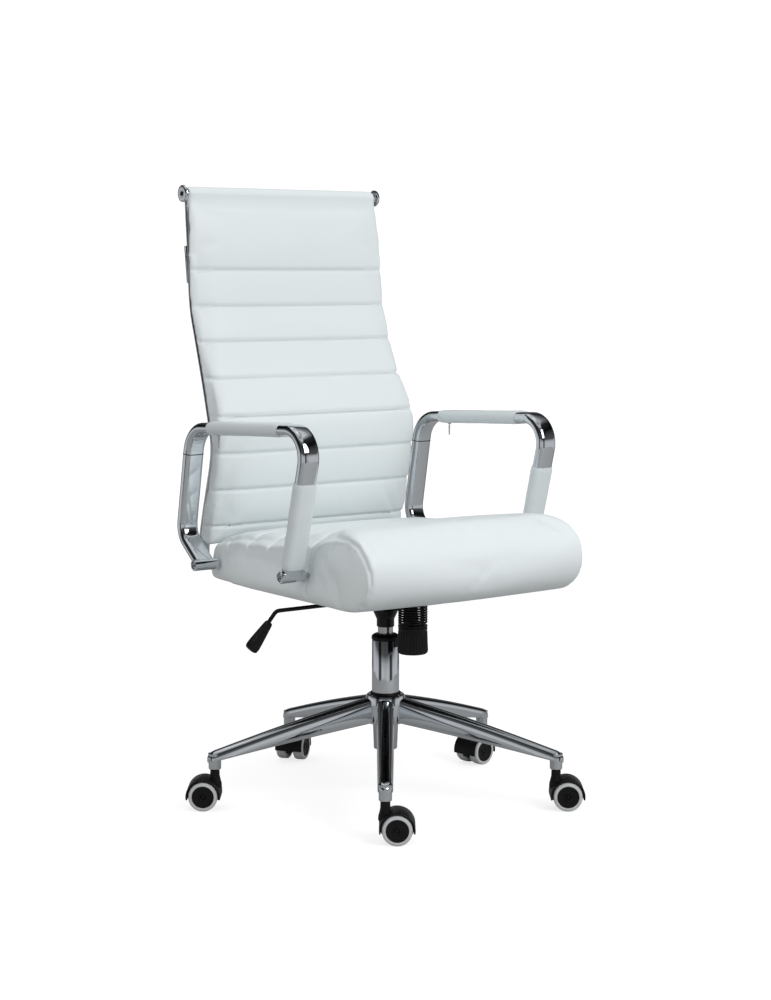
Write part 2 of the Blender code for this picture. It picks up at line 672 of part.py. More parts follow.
def tension_set():
    """Coil spring between the pan's nose and a washer that the fluted knob lifts."""
    travel = make_empty("tension_joint", (0, KNOB_Y, WASHER_TOP), SWIVEL)
    first = WASHER_TOP + GAP + SPRING_WIRE / 2
    last = NOSE_FLOOR - GAP - SPRING_WIRE / 2
    steps = SPRING_TURNS * 10
    coil = []
    for i in range(steps + 1):
        a = 2 * math.pi * i / 10
        z = first + (last - first) * i / steps
        coil.append((SPRING_R * math.cos(a), KNOB_Y + SPRING_R * math.sin(a), z))
    place(tube("tension_spring", coil, SPRING_WIRE / 2, BLACK_STEEL, 0))
    washer = turned("spring_washer", [
        (STUD_R + GAP, WASHER_TOP), (KNOB_TOP_R, WASHER_TOP), (KNOB_TOP_R, WASHER_TOP - WASHER_T),
        (STUD_R + GAP, WASHER_TOP - WASHER_T),
    ], BLACK_STEEL, 24, ring=True)
    washer.location = (0, KNOB_Y, 0)
    place(washer, travel)
    knob = turned("tension_knob", [
        (0.0, KNOB_TOP), (KNOB_TOP_R - 0.001, KNOB_TOP), (KNOB_TOP_R, KNOB_TOP - 0.001),
        (KNOB_FOOT_R, KNOB_TOP - KNOB_H + 0.006), (KNOB_FOOT_R - 0.004, KNOB_TOP - KNOB_H + 0.001),
        (KNOB_FOOT_R - 0.014, KNOB_TOP - KNOB_H), (0.0, KNOB_TOP - KNOB_H),
    ], BLACK_PLASTIC, KNOB_FLUTES * 2)
    for v in knob.data.vertices:
        r = math.hypot(v.co.x, v.co.y)
        step = round(math.degrees(math.atan2(v.co.y, v.co.x)) / (180 / KNOB_FLUTES))
        if r > KNOB_TOP_R - 0.0005 and step % 2:
            v.co.x *= 1 - 0.0009 / r
            v.co.y *= 1 - 0.0009 / r
    knob.location = (0, KNOB_Y, 0)
    place(knob, travel)
    bore = rod("knob_bore", (0, 0, STUD_FOOT - 0.0080), (0, 0, KNOB_TOP + 0.01), STUD_R + GAP, None, 16)
    bore.location = (0, KNOB_Y, 0)
    cut(knob, bore)


def lever():
    """Bent rod that presses the lift button when its outer end is raised."""
    hinge = make_empty("lever_joint", (-PAN_W / 2, 0, LEVER_Z), SWIVEL)
    corners = [(0.0100, LEVER_Z), (LEVER_BEND_X, LEVER_Z), LEVER_END]
    path = rounded_path(corners, (0.0, 0.014, 0.0), 5)
    bar = tube("lever_rod", [(x, 0.0, z) for x, z in path], LEVER_R, BLACK_STEEL)
    place(bar, hinge)
    run = (Vector(LEVER_END) - Vector((LEVER_BEND_X, LEVER_Z))).normalized()
    bm = bmesh.new()
    bmesh.ops.create_cube(bm, size=1.0)
    bmesh.ops.subdivide_edges(bm, edges=list(bm.edges), cuts=1, use_grid_fill=True)
    for v in bm.verts:
        along = v.co.z + 0.5
        widen = 0.72 + 0.30 * along
        v.co = Vector((v.co.x * GRIP_W * widen, v.co.y * GRIP_T * widen, along * GRIP_L))
    down = Vector((run.x, 0, run.y))
    turn = Matrix((Vector((-down.z, 0, down.x)), Vector((0, 1, 0)), down)).transposed().to_4x4()
    bm.transform(Matrix.Translation((GRIP_START[0], 0, GRIP_START[1])) @ turn)
    bmesh.ops.recalc_face_normals(bm, faces=bm.faces)
    grip = new_object("lever_grip", bm, BLACK_PLASTIC)
    soft = grip.modifiers.new("soft", "SUBSURF")
    soft.levels = 1
    soft.render_levels = 1
    place(grip, hinge)
    start = Vector((LEVER_BEND_X, LEVER_Z)) - run * 0.01
    end = Vector(LEVER_END) + run * GAP
    cut(grip, rod("grip_bore", (start.x, 0, start.y), (end.x, 0, end.y), LEVER_R + GAP, None, 12))


# ------------------------------------------------------------------ seat
def seat_outline():
    nose = []
    for i in range(13):
        a = math.radians(90 + 15 * i)
        nose.append((NOSE_Y + NOSE_DEPTH * math.cos(a), NOSE_Z + NOSE_RISE * math.sin(a)))
    top = NOSE_Z + NOSE_RISE
    rise = top - SEAT_REAR_TOP
    crown = [
        (SEAT_REAR - 0.012, SEAT_REAR_TOP), (0.12, SEAT_REAR_TOP + rise * 0.32), (0.0, SEAT_REAR_TOP + rise * 0.52),
        (-0.08, SEAT_REAR_TOP + rise * 0.72), (-0.15, top - 0.003),
    ]
    bottom = [(NOSE_Y + 0.02, SEAT_BOTTOM), (SEAT_REAR - 0.030, SEAT_BOTTOM), (SEAT_REAR, SEAT_BOTTOM + 0.012)]
    return [(SEAT_REAR, SEAT_REAR_TOP - 0.012)] + crown + nose + bottom


def seat(tilt):
    """Upholstered seat over a plywood board with two side blocks for the arm bolts."""
    board = box("seat_board", (-BOARD_HALF, BOARD_HALF), (BOARD_FRONT, BOARD_REAR), (BOARD_BOTTOM, BOARD_TOP),
                PLYWOOD)
    cushion = extruded("seat_cushion", seat_outline(), (-SEAT_HALF, SEAT_HALF), WHITE_HIDE)
    place(board, tilt)
    place(cushion, tilt)
    cut(cushion, box("board_room", (-BOARD_HALF - GAP, BOARD_HALF + GAP), (BOARD_FRONT - GAP, BOARD_REAR + GAP),
                     (SEAT_BOTTOM - 0.02, BOARD_TOP + GAP)))
    foot = FOOT_Z + RAIL_T / 2 + GAP
    rail = (RAIL_OUT - RAIL_W, RAIL_OUT)
    for side, word in ((-1, "right"), (1, "left")):
        x = sorted((side * (BLOCK_OUT - BLOCK_W), side * BLOCK_OUT))
        fuse(board, box(f"side_block_{word}", x, (BLOCK_FRONT, BOARD_REAR), (BOARD_TOP - 0.002, BLOCK_TOP)))
        cut(cushion, box(f"block_room_{word}", (x[0] - GAP, x[1] + GAP), (BLOCK_FRONT - GAP, BOARD_REAR + GAP),
                         (BOARD_TOP, BLOCK_TOP + GAP)))
        x = sorted((side * (rail[0] * FOOT_FLARE - 0.0005), side * (rail[1] * FOOT_FLARE + 0.0005)))
        cut(cushion, box(f"foot_room_{word}", x, (RAIL_FOOT_END - 0.001, SEAT_REAR + 0.05), (BOARD_TOP - 0.001, foot)))
        for y, z in (ARM_CORNERS[0], ARM_CORNERS[-1]):
            hole = rod(f"bolt_room_{word}", (side * (BOLT_END - 0.002), y, z), (side * (SEAT_HALF + 0.02), y, z),
                       BOLT_R + GAP, None, 12)
            cut(board, hole)
            cut(cushion, hole)


# ------------------------------------------------------------------ arms
def on_line(a, b, value, axis):
    """The point of the run a-b where one coordinate has a value."""
    t = (value - a[axis]) / (b[axis] - a[axis])
    return (a[0] + (b[0] - a[0]) * t, a[1] + (b[1] - a[1]) * t)


def arm(side, word, tilt):
    """Flat-oval loop with a barrel at each end, two sleeves, two bolts and a zip pull."""
    x = side * ARM_X
    path = rounded_path(ARM_CORNERS, ARM_RADII)
    loop = flat_tube(f"arm_tube_{word}", path, x, TUBE_HALF_W, TUBE_HALF_T, CHROME)
    place(loop, tilt)
    ends = ((ARM_CORNERS[0], "front"), (ARM_CORNERS[-1], "rear"))
    inner = SEAT_HALF + 0.0005
    for (y, z), end in ends:
        barrel = rod(f"barrel_{end}_{word}", (side * inner, y, z), (side * BARREL_OUT, y, z), BARREL_R, None, 18)
        fuse(loop, barrel)
    recess = BARREL_OUT - BOLT_HEAD_T - 0.0020
    for (y, z), end in ends:
        cut(loop, rod(f"recess_{end}_{word}", (side * (recess - GAP), y, z), (side * (BARREL_OUT + 0.01), y, z),
                      BOLT_HEAD_R + GAP, None, 14))
        cut(loop, rod(f"through_{end}_{word}", (side * (inner - 0.01), y, z), (side * (BARREL_OUT + 0.01), y, z),
                      BOLT_R + GAP, None, 16))
        bolt = rod(f"arm_bolt_{end}_{word}", (side * BOLT_END, y, z), (side * (recess + BOLT_HEAD_T), y, z),
                   BOLT_R, STEEL, 12)
        place(bolt, tilt)
        fuse(bolt, rod(f"bolt_head_{end}_{word}", (side * recess, y, z), (side * (recess + BOLT_HEAD_T), y, z),
                       BOLT_HEAD_R, None, 14))
    top = [on_line(ARM_CORNERS[1], ARM_CORNERS[2], y, 0) for y in TOP_SLEEVE]
    post = [on_line(ARM_CORNERS[0], ARM_CORNERS[1], z, 1) for z in POST_SLEEVE]
    for (a, b), name in ((top, "arm_top_sleeve"), (post, "arm_post_sleeve")):
        out = SLEEVE_T + GAP
        skin = flat_tube(f"{name}_{word}", (a, b), x, TUBE_HALF_W + out, TUBE_HALF_T + out, WHITE_HIDE)
        place(skin, tilt)
        run = (Vector(b) - Vector(a)).normalized() * 0.01
        longer = (tuple(Vector(a) - run), tuple(Vector(b) + run))
        cut(skin, flat_tube(f"{name}_room_{word}", longer, x, TUBE_HALF_W + GAP, TUBE_HALF_T + GAP))
    y, z = on_line(ARM_CORNERS[1], ARM_CORNERS[2], TOP_SLEEVE[1] - 0.012, 0)
    z -= TUBE_HALF_T + SLEEVE_T + GAP + 0.0008
    zip_axis = make_empty(f"zip_joint_{word}", (x, y, z), SWIVEL)
    pull = box(f"zip_pull_{word}", (x - PULL_T / 2, x + PULL_T / 2), (y - PULL_W / 2, y + PULL_W / 2),
               (z - PULL_L, z), STEEL)
    place(pull, zip_axis)


# ------------------------------------------------------------------ back
def at_height(line):
    """Turn shares of the back's height into heights."""
    return [(y, BACK_FOOT_Z + share * BACK_H) for y, share in line]


def y_at(line, z):
    """Where a line that runs down crosses a height."""
    for a, b in zip(line, line[1:]):
        if a[1] >= z > b[1]:
            return a[0] + (b[0] - a[0]) * (z - a[1]) / (b[1] - a[1])
    return line[-1][0]


def rail_path():
    top = (BAR_Y, BAR_Z - BAR_R - GAP)
    line = [top] + at_height(RAIL_LINE)
    bend = rounded_path([line[-1], (RAIL_BEND_Y, FOOT_Z), (RAIL_FOOT_END, FOOT_Z)], (0.0, RAIL_BEND_R, 0.0), 4)
    return line + bend[1:]


def pad_outline():
    """Front face down from the roll round the bar, then the rear face up along the rails."""
    front = [(BAR_Y - ROLL_R, BAR_Z - 0.006)] + at_height(PAD_LINE)
    rear = shifted([(BAR_Y, BAR_Z - BAR_R - GAP)] + at_height(RAIL_LINE), -(RAIL_T / 2 + GAP + 0.0002))
    toe, bottom = at_height(PAD_LINE)[-1]
    rear = [p for p in rear if bottom + 0.012 < p[1] < BAR_Z - ROLL_R - 0.012]
    heel = (rear[-1][0] - 0.002, bottom + 0.004)
    roll = arc((BAR_Y, BAR_Z), ROLL_R, -80, 180, 12)
    return front + [(toe + 0.008, bottom - 0.004), heel] + rear[::-1] + roll


def back(tilt):
    """Two side rails, a top bar with end caps, a rear spreader and the padded back."""
    pad = flare(extruded("back_cushion", pad_outline(), (-BACK_HALF, BACK_HALF), WHITE_HIDE))
    round_edges(pad, 0.006, 1, 50)
    place(pad, tilt)
    cut(pad, rod("bar_room", (-0.3, BAR_Y, BAR_Z), (0.3, BAR_Y, BAR_Z), BAR_R + GAP, None, 24))
    path = rail_path()
    bar = rod("top_bar", (-BACK_HALF, BAR_Y, BAR_Z), (BACK_HALF, BAR_Y, BAR_Z), BAR_R, STEEL, 24)
    place(bar, tilt)
    cut(bar, rod("bar_bore", (-0.3, BAR_Y, BAR_Z), (0.3, BAR_Y, BAR_Z), BAR_R - BAR_WALL, None, 24))
    middle = RAIL_OUT - RAIL_W / 2
    for side, word in ((-1, "right"), (1, "left")):
        rail = flat_tube(f"side_rail_{word}", path, side * middle, RAIL_W / 2, RAIL_T / 2, CHROME)
        place(flare(rail), tilt)
        x = sorted((side * (RAIL_OUT - RAIL_W - 0.0005), side * (BACK_HALF + 0.02)))
        cut(pad, box(f"rail_room_{word}", x, (BAR_Y - RAIL_T / 2 - 0.0040, BAR_Y + 0.03),
                     (BAR_Z - ROLL_R - 0.018, BAR_Z - BAR_R + 0.002)))
        face = BACK_HALF + GAP
        cap = turned(f"top_cap_{word}", [
            (0.0, face + CAP_T), (CAP_R - 0.005, face + CAP_T), (CAP_R - 0.0015, face + CAP_T - 0.0015),
            (CAP_R, face + CAP_T - 0.0035), (CAP_R, face), (BAR_R - BAR_WALL - GAP, face),
            (BAR_R - BAR_WALL - GAP, face - 0.0180), (0.0, face - 0.0180),
        ], CHROME, 20)
        cap.rotation_euler = (0, math.radians(90 * side), 0)
        cap.location = (0, BAR_Y, BAR_Z)
        place(cap, tilt)
    low, high = [BACK_FOOT_Z + share * BACK_H for share in SPREADER]
    at_ends = [(y_at(path, high), high), (y_at(path, low), low)]
    between = [p for p in path if low < p[1] < high]
    low = shifted([at_ends[0]] + between + [at_ends[1]], RAIL_T / 2 + GAP)
    outline = low + shifted(low, SPREADER_T)[::-1]
    place(extruded("back_spreader", outline, (-RAIL_OUT, RAIL_OUT), CHROME), tilt)


# ------------------------------------------------------------------ the whole chair
star_base()
casters()
HEIGHT = gas_lift()
mechanism(HEIGHT)
TILT = make_empty("tilt_joint", (0, TILT_Y, TILT_Z), SWIVEL)
seat_plate(TILT)
tension_set()
lever()
seat(TILT)
arm(-1, "right", TILT)
arm(1, "left", TILT)
back(TILT)
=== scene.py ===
# %% [markdown]
# # A high-back swivel armchair
#
# The moving parts and their sizes are already settled in a frame of simple solids. This lesson
# gives every one of them its real look: puffed seat and back covers with sewn channels, chromed
# tubes, a polished star base and twin-wheel casters. The frame is loaded first, and the lift
# column's box gives the swivel axis. Nothing built here may grow past it.

# %% Load the frame
import math

import bmesh
import bpy
import numpy as np
from mathutils import Matrix, Vector
from mathutils.bvhtree import BVHTree


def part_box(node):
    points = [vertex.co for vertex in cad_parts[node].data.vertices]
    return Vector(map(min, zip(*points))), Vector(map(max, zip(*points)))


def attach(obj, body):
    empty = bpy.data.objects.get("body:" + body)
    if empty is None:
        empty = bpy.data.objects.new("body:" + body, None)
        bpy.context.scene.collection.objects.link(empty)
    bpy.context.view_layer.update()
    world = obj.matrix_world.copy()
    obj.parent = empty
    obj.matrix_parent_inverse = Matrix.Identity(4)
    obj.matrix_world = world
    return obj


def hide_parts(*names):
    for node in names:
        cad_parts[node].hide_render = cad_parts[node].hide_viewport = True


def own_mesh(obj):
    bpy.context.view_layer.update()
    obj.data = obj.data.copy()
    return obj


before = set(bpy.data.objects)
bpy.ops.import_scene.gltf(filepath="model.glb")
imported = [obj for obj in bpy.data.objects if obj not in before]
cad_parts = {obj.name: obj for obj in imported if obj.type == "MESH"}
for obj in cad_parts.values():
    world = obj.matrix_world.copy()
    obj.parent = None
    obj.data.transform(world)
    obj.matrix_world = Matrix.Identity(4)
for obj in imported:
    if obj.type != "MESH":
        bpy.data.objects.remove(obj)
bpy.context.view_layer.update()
column_low, column_high = (Vector(corner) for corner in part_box("lift_column"))
SWIVEL = (column_low + column_high) / 2
SWIVEL.z = 0.0
SIDES = (("right", -1), ("left", 1))
print("swivel axis at", tuple(round(v, 4) for v in SWIVEL))

# %% [markdown]
# Shaders come first. Each finish is one small node tree. Most need the same three things: a
# base colour that drifts a little, a roughness that isn't even, and a fine bump. `noise_value`
# and `add_bump` make those from noise in object coordinates, so no picture file is needed.

# %% Shader helpers
def new_finish(name, colour, roughness, metallic=0.0):
    """A Principled material with its fixed numbers set on the shader's own sockets."""
    material = bpy.data.materials.new(name)
    material.use_nodes = True
    shader = material.node_tree.nodes["Principled BSDF"]
    shader.inputs["Base Color"].default_value = (*colour, 1.0)
    shader.inputs["Roughness"].default_value = roughness
    shader.inputs["Metallic"].default_value = metallic
    return material, material.node_tree.nodes, material.node_tree.links, shader


def noise_value(nodes, links, scale, detail=3.0, stretch=(1, 1, 1)):
    """Noise in object coordinates, stretched along an axis when asked."""
    place = nodes.new("ShaderNodeTexCoord")
    mapping = nodes.new("ShaderNodeMapping")
    mapping.inputs["Scale"].default_value = stretch
    noise = nodes.new("ShaderNodeTexNoise")
    noise.inputs["Scale"].default_value = scale
    noise.inputs["Detail"].default_value = detail
    links.new(place.outputs["Object"], mapping.inputs["Vector"])
    links.new(mapping.outputs["Vector"], noise.inputs["Vector"])
    return noise.outputs["Fac"]


def ramp(nodes, links, source, low, high):
    """Spread a noise value between two numbers."""
    spread = nodes.new("ShaderNodeMapRange")
    spread.inputs["From Min"].default_value = 0.3
    spread.inputs["From Max"].default_value = 0.7
    spread.inputs["To Min"].default_value = low
    spread.inputs["To Max"].default_value = high
    links.new(source, spread.inputs["Value"])
    return spread.outputs["Result"]


def add_bump(nodes, links, shader, height, strength, distance, under=None):
    """A bump in front of the shader, stacked on another one when given."""
    bump = nodes.new("ShaderNodeBump")
    bump.inputs["Strength"].default_value = strength
    bump.inputs["Distance"].default_value = distance
    links.new(height, bump.inputs["Height"])
    if under is not None:
        links.new(under, bump.inputs["Normal"])
    links.new(bump.outputs["Normal"], shader.inputs["Normal"])
    return bump.outputs["Normal"]


def drift_colour(nodes, links, shader, source, first, second):
    """Base colour that wanders between two close tones."""
    mix = nodes.new("ShaderNodeMix")
    mix.data_type = "RGBA"
    mix.inputs["A"].default_value = (*first, 1.0)
    mix.inputs["B"].default_value = (*second, 1.0)
    links.new(source, mix.inputs["Factor"])
    links.new(mix.outputs["Result"], shader.inputs["Base Color"])


# %% [markdown]
# The cover is coated fabric, pressed with a fine pebble grain about a millimetre across. A
# Voronoi texture gives the pebbles, a broad noise gives the slight waviness of a stretched
# skin, and the roughness drifts so that highlights break up softly.

# %% White cover, its thread and the lining
def cover_finish(name, first, second, grain=0.10):
    material, nodes, links, shader = new_finish(name, first, 0.42)
    shader.inputs["Coat Weight"].default_value = 0.06
    shader.inputs["Coat Roughness"].default_value = 0.35
    shader.inputs["Specular IOR Level"].default_value = 0.42
    drift_colour(nodes, links, shader, noise_value(nodes, links, 7.0, 2.0), first, second)
    uneven = ramp(nodes, links, noise_value(nodes, links, 60.0), 0.38, 0.48)
    links.new(uneven, shader.inputs["Roughness"])
    place = nodes.new("ShaderNodeTexCoord")
    pebble = nodes.new("ShaderNodeTexVoronoi")
    pebble.inputs["Scale"].default_value = 850.0
    links.new(place.outputs["Object"], pebble.inputs["Vector"])
    wave = add_bump(nodes, links, shader, noise_value(nodes, links, 16.0, 2.0), 0.18, 0.004)
    add_bump(nodes, links, shader, pebble.outputs["Distance"], grain, 0.0006, wave)
    return material


WHITE_COVER = cover_finish("white_cover", (0.775, 0.830, 0.845), (0.810, 0.865, 0.878))
# The arm sleeves take the white cover made darker: painted shade for the shadow they sit in.
SHADED_SLEEVE_COVER = cover_finish("white_sleeve", (0.68, 0.735, 0.75), (0.73, 0.78, 0.79), 0.14)
WHITE_THREAD = cover_finish("white_thread", (0.66, 0.71, 0.72), (0.72, 0.77, 0.78), 0.3)

LINING, nodes, links, shader = new_finish("black_lining", (0.012, 0.012, 0.013), 0.85)
drift_colour(nodes, links, shader, noise_value(nodes, links, 90.0),
             (0.009, 0.009, 0.010), (0.020, 0.020, 0.021))
add_bump(nodes, links, shader, noise_value(nodes, links, 700.0, 2.0, (1, 0.3, 1)), 0.4, 0.0005)

# %% [markdown]
# Chrome is almost a mirror. What makes it look real is what is left in it: faint polishing
# marks and a film that changes the roughness by a few hundredths. Turned steel has the same
# marks, only stronger and stretched, and black paint over steel has a slight orange peel.

# %% Metals
def metal_finish(name, colour, rough_low, rough_high, scale, stretch=(1, 1, 1), bump=0.02):
    material, nodes, links, shader = new_finish(name, colour, rough_low, 1.0)
    second = tuple(c * 0.94 for c in colour)
    drift_colour(nodes, links, shader, noise_value(nodes, links, 9.0, 2.0), colour, second)
    marks = noise_value(nodes, links, scale, 4.0, stretch)
    links.new(ramp(nodes, links, marks, rough_low, rough_high), shader.inputs["Roughness"])
    add_bump(nodes, links, shader, marks, bump, 0.0004)
    return material


CHROME = metal_finish("chrome", (0.66, 0.69, 0.72), 0.03, 0.08, 45.0)
RAIL_CHROME = metal_finish("rail_chrome", (0.56, 0.585, 0.61), 0.05, 0.11, 45.0)
BRIGHT_STEEL = metal_finish("bright_steel", (0.58, 0.59, 0.61), 0.16, 0.30, 120.0, (1, 1, 12), 0.06)


def dark_finish(name, first, second, rough_low, rough_high, grain_scale, bump, coat=0.0):
    material, nodes, links, shader = new_finish(name, first, rough_low)
    shader.inputs["Specular IOR Level"].default_value = 0.22
    shader.inputs["Coat Weight"].default_value = coat
    shader.inputs["Coat Roughness"].default_value = 0.2
    drift_colour(nodes, links, shader, noise_value(nodes, links, 30.0), first, second)
    uneven = ramp(nodes, links, noise_value(nodes, links, 140.0), rough_low, rough_high)
    links.new(uneven, shader.inputs["Roughness"])
    add_bump(nodes, links, shader, noise_value(nodes, links, grain_scale, 3.0), bump, 0.0004)
    return material


BLACK_PAINT = dark_finish("black_paint", (0.005, 0.005, 0.006), (0.009, 0.009, 0.010), 0.26, 0.40, 260.0, 0.15, 0.1)
BLACK_NYLON = dark_finish("black_nylon", (0.004, 0.004, 0.005), (0.009, 0.009, 0.010), 0.32, 0.48, 900.0, 0.22)
GREY_TREAD = dark_finish("grey_tread", (0.56, 0.57, 0.58), (0.64, 0.65, 0.66), 0.42, 0.60, 500.0, 0.15)
BARE_PLY = dark_finish("bare_ply", (0.42, 0.29, 0.17), (0.55, 0.40, 0.25), 0.55, 0.72, 220.0, 0.25)
print("finishes", len(bpy.data.materials))

# %% [markdown]
# Every piece ends the same way: its mesh is moved to the swivel axis, its faces are turned
# outwards, it is shaded smooth apart from real edges, and it is told which body carries it
# and which simple solids it stands for.

# %% Finish a piece
def piece(name, bm, material, body, stands_for=(), sharp=35, fix_normals=True):
    bmesh.ops.translate(bm, vec=SWIVEL, verts=bm.verts)
    if fix_normals:
        bmesh.ops.recalc_face_normals(bm, faces=bm.faces)
    mesh = bpy.data.meshes.new(name)
    bm.to_mesh(mesh)
    bm.free()
    mesh.materials.append(material)
    mesh.shade_smooth()
    mesh.set_sharp_from_angle(angle=math.radians(sharp))
    ob = bpy.data.objects.new(name, mesh)
    bpy.context.scene.collection.objects.link(ob)
    return declare(ob, body, stands_for)


def declare(ob, body, stands_for=()):
    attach(ob, body)
    if stands_for:
        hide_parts(*stands_for)
    print(f"{ob.name}: {len(ob.data.polygons)} faces on {body}")
    return ob


# %% [markdown]
# Two operators make nearly all the hard parts. `lathe` spins a profile of radius and height
# round the Z axis, which suits columns, wheels and knobs. `sweep` extrudes a closed section
# along a path that lies in one plane, which suits bent tubes, rails and the lever.

# %% Lathe and sweep
def lathe(profile, steps=64, ring=False):
    """Spin (radius, height) points about Z; a ring profile closes on itself."""
    bm = bmesh.new()
    verts = [bm.verts.new((r, 0, z)) for r, z in profile]
    edges = [bm.edges.new(pair) for pair in zip(verts, verts[1:])]
    if ring:
        edges.append(bm.edges.new((verts[-1], verts[0])))
    bmesh.ops.spin(bm, geom=verts + edges, cent=(0, 0, 0), axis=(0, 0, 1), angle=2 * math.pi, steps=steps,
                   use_merge=True)
    bmesh.ops.remove_doubles(bm, verts=bm.verts, dist=1e-6)
    return bm


def oval(half_w, half_t, count=8):
    """A flat-oval section: two half circles joined by flats. Round when both halves are equal."""
    points = []
    flat = half_w - half_t
    for side in (1, -1):
        for i in range(count + 1):
            a = math.radians(-90 + 180 * i / count) if side > 0 else math.radians(90 + 180 * i / count)
            points.append((side * flat + half_t * math.cos(a), half_t * math.sin(a)))
    if flat < 1e-6:
        points = points[:count] + points[count + 1:-1]
    return points


def frames_along(path, side):
    """One matrix for each path point: X is the side vector, Z runs along the path."""
    out = []
    side = Vector(side).normalized()
    for i, point in enumerate(path):
        ahead = Vector(path[min(i + 1, len(path) - 1)]) - Vector(path[max(i - 1, 0)])
        run = ahead.normalized()
        up = run.cross(side).normalized()
        turn = Matrix((side, up, run)).transposed().to_4x4()
        out.append(Matrix.Translation(Vector(point)) @ turn)
    return out


def draw_out(bm, ring, places):
    """Extrude a closed ring of points from the first place to each next one and close both ends."""
    edges = [bm.edges.new((ring[i - 1], ring[i])) for i in range(len(ring))]
    bmesh.ops.contextual_create(bm, geom=edges)
    for before, after in zip(places, places[1:]):
        made = bmesh.ops.extrude_edge_only(bm, edges=edges)["geom"]
        verts = [g for g in made if isinstance(g, bmesh.types.BMVert)]
        fresh = set(verts)
        edges = [g for g in made if isinstance(g, bmesh.types.BMEdge) and fresh.issuperset(g.verts)]
        bmesh.ops.transform(bm, matrix=after @ before.inverted(), verts=verts)
    bmesh.ops.contextual_create(bm, geom=edges)
    return bm


def sweep(path, side, section, sizes=None):
    """Extrude a section ring by ring along a path and close both ends."""
    bm = bmesh.new()
    places = frames_along(path, side)
    if sizes is not None:
        places = [m @ Matrix.Diagonal((*s, 1.0, 1.0)) for m, s in zip(places, sizes)]
    ring = [bm.verts.new(places[0] @ Vector((a, b, 0))) for a, b in section]
    return draw_out(bm, ring, places)


def bent(corners, radii, count=10):
    """A 2-D path through corners, each replaced by a tangent arc."""
    path = []
    for i, (corner, radius) in enumerate(zip(corners, radii)):
        here = Vector(corner)
        if radius == 0.0:
            path.append(here)
            continue
        back = (Vector(corners[i - 1]) - here).normalized()
        ahead = (Vector(corners[i + 1]) - here).normalized()
        half = back.angle(ahead) / 2
        centre = here + (back + ahead).normalized() * radius / math.sin(half)
        first = here + back * radius / math.tan(half) - centre
        last = here + ahead * radius / math.tan(half) - centre
        turn = first.angle(last)
        for k in range(count + 1):
            t = k / count
            mix = first * math.sin((1 - t) * turn) + last * math.sin(t * turn)
            path.append(centre + mix / math.sin(turn))
    return path


def flowing(points, per=6):
    """A smooth 2-D line through points (Catmull-Rom)."""
    pts = [Vector(p) for p in points]
    pts = [pts[0] * 2 - pts[1]] + pts + [pts[-1] * 2 - pts[-2]]
    line = []
    for a, b, c, d in zip(pts, pts[1:], pts[2:], pts[3:]):
        for k in range(per):
            t = k / per
            line.append(0.5 * (2 * b + (c - a) * t + (2 * a - 5 * b + 4 * c - d) * t * t
                               + (3 * b - a - 3 * c + d) * t ** 3))
    line.append(pts[-2])
    return line


def in_side_view(line, x):
    """Turn (y, z) points into 3-D points at one x."""
    return [Vector((x, p[0], p[1])) for p in line]


def rounded_cylinder(start, end, radius, lip, sides):
    """A closed round bar with softened ends."""
    start, end = Vector(start), Vector(end)
    run = end - start
    half = run.length / 2
    part = lathe([(0, half), (radius - lip, half), (radius, half - lip), (radius, -half + lip),
                  (radius - lip, -half), (0, -half)], sides)
    turn = run.to_track_quat("Z", "Y").to_matrix().to_4x4()
    part.transform(Matrix.Translation((start + end) / 2) @ turn)
    return part


def add_box(bm, place, size):
    """Add a box of a given size, put in place by a matrix."""
    verts = bmesh.ops.create_cube(bm, size=1.0)["verts"]
    bmesh.ops.transform(bm, verts=verts, matrix=place @ Matrix.Diagonal((*size, 1.0)))
    return verts


def soften(bm, offset, segments):
    """Round all the edges of a mesh a little."""
    bmesh.ops.bevel(bm, geom=list(bm.edges), offset=offset, offset_type="OFFSET", segments=segments,
                    affect="EDGES", profile=0.5, material=-1)


def facing_out(bm, side, x, y, z):
    """Turn a lathed part on its side, so that its top faces away from the chair's middle."""
    bm.transform(Matrix.Translation((side * x, y, z)) @ Matrix.Rotation(math.radians(90 * side), 4, "Y"))
    return bm


def join(bm, part):
    """Copy one bmesh into another and free it."""
    mesh = bpy.data.meshes.new("joining")
    part.to_mesh(mesh)
    part.free()
    bm.from_mesh(mesh)
    bpy.data.meshes.remove(mesh)


# %% [markdown]
# ## The padded seat and back
#
# A padded cover is a skin under tension round foam. The way here is the upholsterer's: cut a
# plain block a little smaller than the finished pad, blow it up as cloth with a little air
# pressure and no gravity, and stop every point after it has moved a set distance. Points that
# rest on the board or the rails are pinned. Seams and channels are pressed in afterwards.

# %% Cut a block and puff it
def block(outline, half, flare=None):
    """A closed (y, z) outline between -half and half in x, as a mesh object."""
    bm = bmesh.new()
    face = bm.faces.new([bm.verts.new((-half, y, z)) for y, z in outline])
    made = bmesh.ops.extrude_face_region(bm, geom=[face])["geom"]
    moved = [g for g in made if isinstance(g, bmesh.types.BMVert)]
    bmesh.ops.translate(bm, vec=(2 * half, 0, 0), verts=moved)
    bmesh.ops.recalc_face_normals(bm, faces=bm.faces)
    if flare is not None:
        for v in bm.verts:
            v.co.x *= flare(v.co.z)
    mesh = bpy.data.meshes.new("block")
    bm.to_mesh(mesh)
    bm.free()
    ob = bpy.data.objects.new("block", mesh)
    bpy.context.scene.collection.objects.link(ob)
    return ob


def settled(ob):
    """The object's mesh with its modifiers worked out."""
    graph = bpy.context.evaluated_depsgraph_get()
    return bpy.data.meshes.new_from_object(ob.evaluated_get(graph))


def vectors_of(mesh, kind):
    """Each vertex's place ("co") or normal, one row for each."""
    flat = np.empty(len(mesh.vertices) * 3)
    mesh.vertices.foreach_get(kind, flat)
    return flat.reshape(-1, 3)


def set_points(mesh, points):
    mesh.vertices.foreach_set("co", points.ravel())
    mesh.update()


